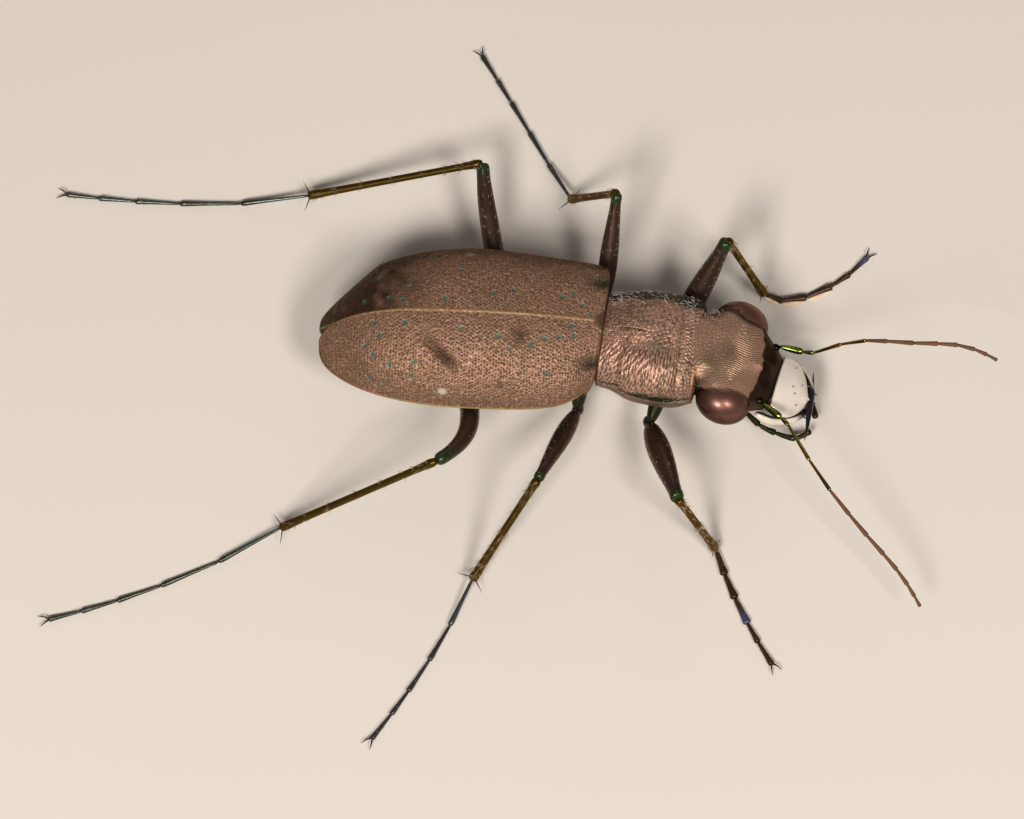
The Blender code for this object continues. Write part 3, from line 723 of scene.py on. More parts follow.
def hand_over(
    obj: Piece, name: str, finish: Finish, nodes: Sequence[str] = (),
    stance: Stance | None = None, crease: float = 50.0,
) -> Piece:
    """Brings a piece to metres, dresses it and hands it to the frame.

    Args:
        obj: The piece, in millimetres.
        name: Its name.
        finish: Its finish.
        nodes: The CAD nodes that it stands for.
        stance: The block whose frame it is in, if that isn't the part's own.
        crease: Edges that turn more than this, in degrees, stay sharp.

    Returns:
        The piece.
    """
    obj.name = name
    obj.data.name = name
    if stance:
        set_points(obj, stance.move(points_of(obj)))
    obj.data.transform(Matrix.Scale(MM, 4))
    obj.data.materials.clear()
    obj.data.materials.append(finish.value.material())
    take(obj)
    bpy.ops.object.shade_smooth_by_angle(angle=math.radians(crease))
    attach(obj, "root")
    if nodes:
        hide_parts(*nodes)
    LOG.info("%s: %d faces", name, len(obj.data.polygons))
    return obj


@dataclass(frozen=True)
class Coat:
    """How the hairs of a skin stand.

    length holds the least and the greatest. outward is how strongly they follow
    the skin's own direction, lie where they lean besides, and bend where their
    tips hang, all for the left side. The two spreads are how far single ones stray.
    """

    length: Pair
    outward: float
    lie: Place
    bend: Place
    lie_spread: float = 0.0
    bend_spread: float = 0.0


@dataclass
class Hairs:
    """Short curved bristles, each a slender three-sided cone."""

    name: str
    finish: Finish
    slot: str
    radius: float = 0.011
    patch: float = 0.003
    planted: list[tuple[Points, ...]] = field(default_factory=list)

    def add(
        self, roots: Points, ways: Points, bends: Points, unwraps: Points,
        stance: Stance | None = None,
    ) -> None:
        """Plants bristles.

        Args:
            roots: Where each one grows.
            ways: From its root towards its tip, as long as it is.
            bends: How its tip leans away from that line.
            unwraps: Its root's place on an unwrap of the skin, from 0 to 1.
            stance: The block whose frame they are in, if that isn't the part's own.
        """
        if stance:
            turn = np.array(stance.matrix())[:3, :3].T
            roots, ways, bends = stance.move(roots), ways @ turn, bends @ turn
        self.planted.append((roots, ways, bends, unwraps))

    def sow(
        self, stance: Stance, roots: Points, out: Points, coat: Coat, unwraps: Points,
        draw: Generator,
    ) -> None:
        """Plants a coat of bristles.

        Args:
            stance: The block whose frame they are in.
            roots: Where each one grows.
            out: The direction out of the skin there.
            coat: How they stand.
            unwraps: Its root's place on an unwrap of the skin, from 0 to 1.
            draw: The source of their unevenness.
        """
        mirror = np.ones(roots.shape)
        mirror[:, 1] = np.sign(roots[:, 1])
        length = draw.uniform(*coat.length, (len(roots), 1))
        lie, bends = mirror * coat.lie, mirror * coat.bend * length
        if coat.lie_spread:
            lie += draw.normal(0, coat.lie_spread, roots.shape)
        if coat.bend_spread:
            bends += draw.normal(0, coat.bend_spread, roots.shape)
        self.add(roots, (out * coat.outward + lie) * length, bends, unwraps, stance)

    def build(self) -> Piece:
        """Makes the planted bristles one mesh and hands it over."""
        roots, ways, bends, unwraps = (np.vstack(rows) for rows in zip(*self.planted))
        side = np.cross(ways, [0.31, 0.17, 0.93])
        side /= np.linalg.norm(side, axis=1)[:, None] + 1e-9
        other = np.cross(ways, side)
        other /= np.linalg.norm(other, axis=1)[:, None] + 1e-9
        rings = []
        for along, lean, radius in ((-0.08, 0.0, 1.0), (0.5, 0.25, 0.75)):
            for corner in range(3):
                turn = 2 * math.pi * corner / 3
                out = side * math.cos(turn) + other * math.sin(turn)
                rings.append(roots + ways * along + bends * lean + out * self.radius * radius)
        rings.append(roots + ways + bends)
        points = np.stack(rings, axis=1).reshape(-1, 3)
        faces = [(2, 1, 0), (3, 4, 6), (4, 5, 6), (5, 3, 6)]
        faces += [(a, (a + 1) % 3, (a + 1) % 3 + 3, a + 3) for a in range(3)]
        starts = range(0, len(points), 7)
        polygons = [tuple(start + k for k in face) for start in starts for face in faces]
        mesh = bpy.data.meshes.new(self.name)
        mesh.from_pydata(points.tolist(), [], polygons)
        layer = mesh.uv_layers.new(name="OFBake")
        corners = np.array([(0, 0), (1, 0), (0.5, 1), (0, 0.5), (1, 0.5), (0.5, 0), (0.5, 0.9)])
        loops = np.array([loop.vertex_index for loop in mesh.loops])
        places = unwraps[loops // 7] * (1 - self.patch) + corners[loops % 7] * self.patch
        layer.data.foreach_set("uv", places.astype(np.float32).ravel())
        obj = bpy.data.objects.new(self.name, mesh)
        bpy.context.scene.collection.objects.link(obj)
        turn_outward(obj)
        return hand_over(obj, self.name, self.finish, crease=180.0)


# Body and wings


@dataclass(frozen=True)
class Barrel:
    """A block of the body: rings along its own x axis, with domed ends.

    half_width, top, bottom and waist hold evenly spaced values from the rear to
    the front. ends holds the share of the section that the rear and the front
    face keep after their edges are rounded. power and under say how square the
    upper and the lower half are.
    """

    stance: Stance
    rear: float
    front: float
    half_width: Row
    top: Row
    bottom: Row
    waist: Row
    ends: Pair
    power: Row = (2.2, 2.2, 2.2)
    under: Row = (2.2, 2.2, 2.2)
    face: float = 0.1
    rounded: float = 0.14
    dome: float = 0.08
    crowding: float = 0.45

    def map(self, unit: Points) -> tuple[Points, Points, Points]:
        """Lays a unit sphere's points on the block, closer together on its back.

        Args:
            unit: The sphere's points.

        Returns:
            The places in the block's frame, part of the way to the front, and
            the angle round the ring.
        """
        ring = 1 - np.arccos(np.clip(unit[:, 2], -1, 1)) / math.pi
        angle = np.arctan2(unit[:, 1], unit[:, 0])
        angle = angle + self.crowding * np.cos(angle)
        side = np.clip((ring - self.face) / (1 - 2 * self.face), 0, 1)
        keep = np.ones(len(unit))
        for near, kept in ((side, self.ends[0]), (1 - side, self.ends[1])):
            inner = np.clip(near / self.rounded, 0, 1)
            keep *= kept + (1 - kept) * np.sqrt(1 - (1 - inner) ** 2)
        capped = np.clip(np.minimum(ring, 1 - ring) / self.face, 0, 1)
        keep *= np.sin(capped * math.pi / 2)
        sizes = (self.half_width, self.top, self.bottom, self.waist, self.power, self.under)
        half_width, top, bottom, waist, power, under = (through(row, side) for row in sizes)
        across, upward = np.cos(angle), np.sin(angle)
        reach = np.where(upward > 0, top - waist, waist - bottom)
        square = np.where(upward > 0, power, under)
        sum_of = (np.abs(across) / half_width) ** square + (np.abs(upward) / reach) ** square
        radius = keep * sum_of ** (-1 / square)
        x = self.rear + (self.front - self.rear) * side
        x += np.where(ring < 0.5, -1, 1) * self.dome * np.cos(capped * math.pi / 2)
        return np.stack([x, radius * across, waist + radius * upward], axis=1), side, angle

    def skin(self, name: str, segments: int, rings: int) -> Skin:
        """The block's skin in its own frame, with part and angle of each point."""
        obj = ball(name, segments, rings)
        points, side, angle = self.map(points_of(obj))
        set_points(obj, points)
        turn_outward(obj)
        return obj, side, angle


@dataclass(frozen=True)
class CoverForm:
    """The outline of one cover, which differs a little from side to side."""

    half_width: float
    shoulder_loss: float
    shoulder_power: float
    tail_round: float
    tail_power: float
    tail_cut: float
    apex: float


@dataclass
class WingCovers:
    """The two domed, pitted wing covers and the little shield between their bases."""

    stance: Stance = HIND_BODY
    length: float = 8.85
    widest: float = 0.42
    forms: dict[float, CoverForm] = table({
        1.0: CoverForm(2.78, 0.17, 1.2, 2.0, 0.46, 1.15, 0.12),
        -1.0: CoverForm(2.65, 0.26, 3.8, 2.4, 0.42, 0.0, 0.3),
    })
    shoulder_sweep: float = 0.3
    base_reach: float = 0.08
    base_skew: float = 0.1
    notch_power: float = 18.0
    seam: float = 0.008
    shoulder: Swell = Swell(0.09, (0.08, 0.06), (0.74, 0.16))
    shoulder_hollow: Swell = Swell(-0.17, (0.02, 0.035), (0.48, 0.09))
    base_dip: float = 0.04
    crest: Place = (4.4, 0.45, 2.15)
    rim: Place = (2.82, 0.1, 0.6)
    dome_turn: float = math.radians(76)
    columns: int = 400
    rows: int = 165
    base_fold: float = 0.02
    tip_fold: float = 0.01
    seam_fold: float = 0.014
    lip_fold: float = 0.045
    wall: float = 0.22
    pit_spacing: float = 0.104
    pit_radius: float = 0.042
    pit_depth: float = 0.026
    granule_offset: float = 0.045
    granule_radius: float = 0.04
    granule_height: float = 0.009
    dimple_radius: float = 0.11
    dimple_depth: float = 0.03
    dimples: dict[str, tuple[Pair, ...]] = table({
        "left": (
            (0.04, 0.06), (0.07, 0.14), (0.1, 0.24), (0.14, 0.2), (0.31, 0.22), (0.38, 0.18),
            (0.55, 0.1), (0.61, 0.7), (0.68, 0.24), (0.7, 0.1), (0.75, 0.13), (0.84, 0.16),
            (0.5, 0.42), (0.79, 0.45),
        ),
        "right": (
            (0.09, 0.18), (0.1, 0.08), (0.14, 0.2), (0.18, 0.56), (0.19, 0.22), (0.24, 0.28),
            (0.32, 0.33), (0.36, 0.22), (0.49, 0.16), (0.65, 0.5), (0.66, 0.66), (0.69, 0.12),
            (0.74, 0.56), (0.76, 0.8), (0.78, 0.26), (0.8, 0.12), (0.8, 0.48), (0.81, 0.78),
            (0.83, 0.38),
        ),
    })
    pale_spots: dict[str, Pair] = table({"left": (0.47, 0.68), "right": (0.55, 0.8)})
    spot_height: float = 0.02
    blot: Swell = Swell(0.85, (0.28, 0.03), (0.21, 0.09))
    faint_blot: Swell = Swell(0.45, (0.34, 0.025), (0.68, 0.06))

    def ends(self, part: Points) -> tuple[Points, Points]:
        """How far ahead of and behind the widest place, each from 0 to 1."""
        ahead = np.clip(1 - part / self.widest, 0, 1)
        return ahead, np.clip((part - self.widest) / (1 - self.widest), 0, 1)

    def outline(self, part: Points, side: float) -> Points:
        """How far a cover's rim is from the middle plane."""
        ahead, behind = self.ends(part)
        form = self.forms[side]
        front = form.half_width * (1 - form.shoulder_loss * ahead**form.shoulder_power)
        tail = form.half_width * (1 - behind**form.tail_round) ** form.tail_power
        tail *= 1 - form.tail_cut * np.clip(behind - 0.65, 0, 1)
        return np.where(part < self.widest, front, tail + form.apex * behind**14)

    def heights(self, part: Points) -> tuple[Points, Points]:
        """Height of the covers at the suture and at their rim."""
        ahead, behind = self.ends(part)
        crest = self.crest[0] - self.crest[1] * ahead**2 - self.crest[2] * behind**4
        rim = self.rim[0] + self.rim[1] * ahead - self.rim[2] * behind**3
        return crest, rim

    def point(self, part: Points, across: Points, side: float) -> Points:
        """Places on a cover's outer face, in the frame of the hind body.

        Args:
            part: From its base to its tip.
            across: From the suture to the rim.
            side: 1 for the left cover, -1 for the right one.

        Returns:
            The places.
        """
        ahead, behind = self.ends(part)
        notch = np.sqrt(1 - behind**self.notch_power)
        apex = self.forms[side].apex
        inner = apex - (apex - self.seam) * notch
        angle = self.dome_turn * across
        reach = np.sin(angle) / math.sin(self.dome_turn)
        rise = (np.cos(angle) - math.cos(self.dome_turn)) / (1 - math.cos(self.dome_turn))
        crest, rim = self.heights(part)
        y = inner + (self.outline(part, side) - inner) * reach
        x = -self.length * part - self.shoulder_sweep * ahead**6 * across**5
        x += self.base_reach * ahead**8 + self.base_skew * side * y * ahead**4
        z = rim + (crest - rim) * rise
        z += self.shoulder.rise(part, across) + self.shoulder_hollow.rise(part, across)
        z -= self.base_dip * bump(part, 0.0, 0.015)
        return np.stack([x, side * y, z], axis=1)

    def outward(self, part: Points, side: float) -> Points:
        """The level direction out of the rim at each part."""
        here, rim = 0.0005, np.ones(len(part))
        back = self.point(np.clip(part + here, 0, 1), rim, side)
        along = back - self.point(np.clip(part - here, 0, 1), rim, side)
        out = side * np.stack([along[:, 1], -along[:, 0]], axis=1)
        return out / np.linalg.norm(out, axis=1)[:, None]

    def outer_face(self, name: str, side_name: str) -> Piece:
        """The fine outer face of one cover, folded down along all four edges."""
        side = SIDES[side_name]
        obj = sheet(name, self.columns, self.rows)
        unit = points_of(obj) + 0.5
        s, t = unit[:, 0], unit[:, 1]
        part = np.clip((s - self.base_fold) / (1 - self.base_fold - self.tip_fold), 0, 1)
        across = np.clip((t - self.seam_fold) / (1 - self.seam_fold - self.lip_fold), 0, 1)
        points = self.point(part, across, side)
        lip = np.clip((t - 1 + self.lip_fold) / self.lip_fold, 0, 1)
        out = 0.03 * np.sin(np.clip(lip * 2, 0, 1) * math.pi) - 0.3 * step(0.35, 1.0, lip)
        points[:, :2] += self.outward(part, side) * out[:, None]
        points[:, 2] -= 0.2 * lip**1.3 - 0.025 * np.sin(np.clip(lip * 2.5, 0, 1) * math.pi)
        seam = np.clip(1 - t / self.seam_fold, 0, 1)
        base = np.clip(1 - s / self.base_fold, 0, 1)
        tip = np.clip((s - 1 + self.tip_fold) / self.tip_fold, 0, 1)
        points[:, 2] -= 0.3 * seam + 0.5 * base + 0.3 * tip
        points[:, 0] += 0.04 * np.sin(base * math.pi)
        set_points(obj, points)
        if side > 0:
            obj.data.flip_normals()
        self.pit(obj, part, across, lip, np.maximum.reduce([seam, base, tip]), side_name)
        return obj

    def scatter(self, side: float) -> Points:
        """Middles of the small pits, in close uneven rows."""
        draw = default_rng(11 if side > 0 else 12)
        places = []
        row_gap = self.pit_spacing * math.sqrt(3) / 2
        for row in range(int(self.length / row_gap)):
            part = (row + 0.5) * row_gap / self.length
            line = self.point(np.full(60, part), np.linspace(0, 1, 60), side)
            arc = np.linalg.norm(np.diff(line, axis=0), axis=1).sum()
            count = max(int(arc / self.pit_spacing), 1)
            across = (np.arange(count) + 0.25 + 0.5 * (row % 2)) / count
            across = across + draw.normal(0, 0.16, count) / count
            parts = part + draw.normal(0, 0.15 * row_gap, count) / self.length
            keep = (across > 0.015) & (across < 0.985) & (parts > 0.004) & (parts < 0.996)
            places.append(self.point(parts[keep], across[keep], side))
        return np.vstack(places)

    def pit(
        self, obj: Piece, part: Points, across: Points, lip: Points, fold: Points, side_name: str
    ) -> None:
        """Presses the pits into a cover's outer face and paints it."""
        side = SIDES[side_name]
        points, normals = points_of(obj), normals_of(obj)
        pits = self.scatter(side)
        sizes = default_rng(21).uniform(0.7, 1.2, len(pits))
        tree = KDTree(len(pits))
        for index, place in enumerate(pits):
            tree.insert(place, index)
        tree.balance()
        found = [tree.find(place) for place in points]
        near = np.array([hit[2] for hit in found])
        nearest = [hit[1] for hit in found]
        size = sizes[nearest]
        bowl = np.clip(1 - (near / (self.pit_radius * size)) ** 2, 0, 1) ** 1.5
        calm = step(0.05, 0.0, np.maximum(lip, fold)) * step(0.0, 0.02, across)
        behind = pits[nearest] - np.array([self.granule_offset, 0, 0])
        grain = np.linalg.norm(points - behind, axis=1)
        granule = np.clip(1 - (grain / self.granule_radius) ** 2, 0, 1) ** 2
        dip = self.pit_depth * bowl * size - self.granule_height * granule
        dimples = self.point(*np.array(self.dimples[side_name]).T, side)
        far = np.linalg.norm(points[:, None, :] - dimples[None], axis=2).min(axis=1)
        far += 0.03 * ripple(points, 22.0, 13)
        hollow = np.clip(1 - (far / self.dimple_radius) ** 2, 0, 1) ** 1.5
        spot_at = self.point(*np.array([self.pale_spots[side_name]]).T, side)[0]
        from_spot = np.linalg.norm((points - spot_at) * [0.8, 1, 1], axis=1)
        spot = step(0.17, 0.07, from_spot + 0.05 * ripple(points, 9.0, 8))
        dip += self.dimple_depth * hollow - self.spot_height * spot
        rough = 0.006 * ripple(points, 18.0, 5, 16) + 0.012 * ripple(points, 2.2, 6)
        bead = 0.025 * bump(across, 0.0, 0.009) * step(1.0, 0.9, part)
        bead += 0.03 * bump(part, 0.006, 0.004) * step(0.62, 0.4, across)
        points += normals * ((rough - dip) * calm + bead)[:, None]
        set_points(obj, points)
        # Brown blots and clouds, and painted shade near the rim, the tip and over the left cover.
        smudge = self.brown_blots_and_shade(part, across, points, side_name)
        # Painted shade in the pits and in the middle of each dimple, less under the brown blots.
        pitted = bowl**0.8 * (1 - 0.6 * smudge)
        paint(obj, "deep", np.maximum(0.9 * pitted, 0.7 * step(0.6, 0.9, hollow)) * calm)
        ring = step(0.05, 0.4, hollow) * (1 - 0.5 * step(0.6, 0.95, hollow))
        paint(obj, "patch", ring * 0.7 * calm * (1 - 0.4 * bowl))
        line = bump(across, 0.0, 0.0045) * 0.7 + 0.85 * bump(lip, 0.22, 0.2) * step(0, 0.08, lip)
        if side > 0:
            line += 0.8 * bump(across, 1.0, 0.012) * bump(part, 0.4, 0.3)
        paint(obj, "edge", line * (fold < 0.3))
        groove = bump(part, 0.0, 0.055) * bump(across, 0.5, 0.11)
        shade = np.maximum(0.95 * groove, 0.9 * step(0.45, 0.7, lip))
        paint(obj, "shade", np.maximum(shade, 0.8 * fold))
        # The pale spot is painted weaker on the left cover, as painted shade there.
        paint(obj, "spot", spot * (0.8 if side < 0 else 0.35))
        # Paints the brown blots and the painted shade in the smudge colour.
        paint(obj, "smudge", smudge)

    def brown_blots_and_shade(self, part: Points, across: Points, points: Points, side_name: str) -> Points:
        """Brown blots and clouds, with painted shade by the rim and tip and on the left cover."""
        uneven = 0.5 + 0.5 * ripple(points, 5.0, 9)
        clouds = step(0.0, 0.8, ripple(points, 3.2, 10, 14)) * step(0.55, 0.85, part)
        marks_and_shade = 0.15 * step(0.72, 1.0, across) + 0.15 * step(0.8, 1.0, part) + 0.75 * clouds
        marks_and_shade = marks_and_shade * (0.6 + 0.6 * uneven)
        if side_name == "left":
            # Painted shade over the left cover's tail and outer half, partly the tail's own dark
            # brown.
            dark = 1.3 * step(0.52, 0.88, part) + 0.7 * step(0.45, 0.85, across)
            marks_and_shade += dark * (0.75 + 0.4 * ripple(points, 12.0, 15, 16))
        else:
            along, wide = (part - 0.553) / 0.05, (across - 0.42) / 0.12
            dash = np.exp(-(((along - wide) / 2.4) ** 4) - ((along + wide) / 0.72) ** 4)
            blots = self.blot.rise(part, across) + self.faint_blot.rise(part, across)
            marks_and_shade = np.maximum(marks_and_shade, (0.9 * dash + blots) * (0.8 + 0.3 * uneven))
        return np.clip(marks_and_shade, 0, 0.97)

    def cover(self, side_name: str) -> None:
        """One whole cover: outer face, folded edges and a plain inner face."""
        name = f"cover_{side_name}"
        outer = self.outer_face(name, side_name)
        inner = sheet("inner_face", 60, 24)
        unit = points_of(inner) + 0.5
        part, across = 0.03 + 0.93 * unit[:, 0], 0.06 + 0.86 * unit[:, 1]
        set_points(inner, self.point(part, across, SIDES[side_name]))
        normals = normals_of(inner)
        normals *= np.sign(normals[:, 2:3])
        set_points(inner, points_of(inner) - normals * self.wall)
        paint(inner, "shade", 0.8)
        whole = join([outer, inner], name)
        bpy.ops.object.mode_set(mode="EDIT")
        bpy.ops.mesh.select_mode(type="EDGE")
        bpy.ops.mesh.select_all(action="DESELECT")
        bpy.ops.mesh.select_non_manifold(
            extend=False, use_wire=False, use_multi_face=False, use_non_contiguous=False,
            use_verts=False,
        )
        bpy.ops.mesh.bridge_edge_loops()
        bpy.ops.object.mode_set(mode="OBJECT")
        turn_outward(whole)
        hand_over(
            whole, name, Finish.COVER, [f"wing_cover_{side_name}"], self.stance
        )

    def shield(self) -> None:
        """The little three-cornered shield between the covers' bases."""
        obj = ball("shield", 48, 32)
        unit = squared(points_of(obj), 6.0)
        ahead = 0.5 + 0.5 * unit[:, 0]
        y = (0.03 + 0.41 * ahead) * unit[:, 1]
        x = -0.36 + 0.5 * ahead + self.base_skew * y
        crest = self.crest[0] - self.crest[1] + 0.01
        z = crest - 0.05 * ahead**2 - 0.06 * unit[:, 1] ** 2 * ahead + 0.05 * unit[:, 2]
        set_points(obj, np.stack([x, y, z], axis=1))
        border = step(0.75, 0.95, np.abs(unit[:, 1])) * step(0.0, 0.5, unit[:, 2])
        paint(obj, "edge", 0.6 * border)
        paint(obj, "smudge", 0.5 + 0.4 * unit[:, 0])
        hand_over(obj, "shield", Finish.COVER, stance=self.stance)

    def build(self) -> None:
        """Both covers and the shield."""
        for side_name in SIDES:
            self.cover(side_name)
        self.shield()


@dataclass
class Trunk:
    """Thorax and abdomen under the covers, with the plates of the belly."""

    covers: WingCovers
    inset: float = 0.36
    waist_drop: float = 0.35
    belly: float = 1.4
    belly_rise: float = 0.55
    belly_rise_in_front: float = 0.15
    thorax_front: float = 0.5
    thorax_rear: float = -3.15
    abdomen_rear: float = -8.2
    plate_length: float = 0.84
    plate_step: float = 0.05
    seams: Row = (-1.05, -2.35)
    seam_depth: float = 0.07
    coat: Coat = Coat((0.14, 0.28), 0.5, (-0.75, 0, -0.25), (-0.3, 0, -0.2), bend_spread=0.03)

    def skin(self, name: str, front: float, rear: float, rings: int) -> Skin:
        """A length of the trunk, with its x and its angle at each point."""
        obj = ball(name, 96, rings)
        unit = points_of(obj)
        ring = np.arccos(np.clip(unit[:, 2], -1, 1)) / math.pi
        angle = np.arctan2(unit[:, 1], unit[:, 0])
        x = front + (rear - front) * ring
        keep = np.sin(np.clip(np.minimum(ring, 1 - ring) / 0.16, 0, 1) * math.pi / 2) ** 0.6
        station = np.clip(-x / self.covers.length, 0, 1)
        crest, rim = self.covers.heights(station)
        waist = rim - self.waist_drop
        half_width = (self.covers.outline(station, -1.0) - self.inset) * keep
        half_width *= 1 - 0.32 * step(-0.6, 0.4, x)
        top = crest - 0.55
        ahead, behind = self.covers.ends(station)
        belly = self.belly + self.belly_rise_in_front * ahead**2 + self.belly_rise * behind**2
        reach = np.where(np.sin(angle) > 0, top - waist, waist - belly) * keep
        y, z = half_width * np.cos(angle), waist + reach * np.sin(angle)
        set_points(obj, np.stack([x, y, z], axis=1))
        turn_outward(obj)
        return obj, x, angle

    def thorax(self, hairs: Hairs) -> None:
        """The plates that carry the middle and hind legs."""
        obj, x, angle = self.skin("thorax_plates", self.thorax_front, self.thorax_rear, 90)
        points, normals = points_of(obj), normals_of(obj)
        under = step(0.1, -0.4, np.sin(angle))
        seams = sum(bump(x, seam, 0.05) for seam in self.seams) + bump(points[:, 1], 0, 0.05)
        slant = bump(x + 0.35 * np.abs(points[:, 1]), -0.35, 0.05)
        seam = np.clip(seams + slant, 0, 1) * under
        rough = 0.01 * ripple(points, 16.0, 31) + 0.02 * ripple(points, 3.0, 32)
        set_points(obj, points + normals * (rough - self.seam_depth * seam)[:, None])
        # Painted shade in the seams between the plates.
        paint(obj, "deep", seam)
        draw = default_rng(33)
        flank = (draw.uniform(size=len(points)) < 0.1) & (np.abs(np.cos(angle)) > 0.55)
        flank &= (np.sin(angle) < 0.1) & (x < 0.2)
        self.plant(obj, flank, x, angle, hairs)
        hand_over(
            obj, "thorax_plates", Finish.DARK_SKIN, ["thorax"], self.covers.stance
        )

    def plant(self, obj: Piece, chosen: Points, x: Points, angle: Points, hairs: Hairs) -> None:
        """Plants pale hairs on the chosen points of a length of trunk."""
        unwrap = np.stack([(x[chosen] + 9) / 10, (angle[chosen] / math.pi + 1) / 2], axis=1)
        roots, out = points_of(obj)[chosen], normals_of(obj)[chosen]
        draw = default_rng(len(roots))
        hairs.sow(self.covers.stance, roots, out, self.coat, unwrap, draw)

    def abdomen(self, hairs: Hairs) -> None:
        """The belly's overlapping rings."""
        obj, x, angle = self.skin("belly_rings", self.thorax_rear + 0.3, self.abdomen_rear, 120)
        points, normals = points_of(obj), normals_of(obj)
        place = (self.thorax_rear - x) / self.plate_length
        rise = place - np.floor(place)
        under = step(0.3, -0.3, np.sin(angle))
        groove = np.maximum(bump(rise, 0.0, 0.06), bump(rise, 1.0, 0.06)) * under
        lift = (self.plate_step * rise - 0.05 * groove) * under
        lift += 0.006 * ripple(points, 18.0, 41)
        set_points(obj, points + normals * lift[:, None])
        # Painted shade in the grooves where one ring overlaps the next.
        paint(obj, "deep", groove)
        draw = default_rng(43)
        flank = (draw.uniform(size=len(points)) < 0.05) & (np.abs(np.cos(angle)) > 0.5)
        flank &= np.sin(angle) < -0.05
        self.plant(obj, flank, x, angle, hairs)
        hand_over(
            obj, "belly_rings", Finish.DARK_SKIN, ["abdomen"], self.covers.stance
        )

    def build(self) -> None:
        """Thorax, abdomen and their pale side hairs."""
        hairs = Hairs("trunk_hairs", Finish.WHITE_HAIR, "thorax", radius=0.008)
        self.thorax(hairs)
        self.abdomen(hairs)
        hairs.build()


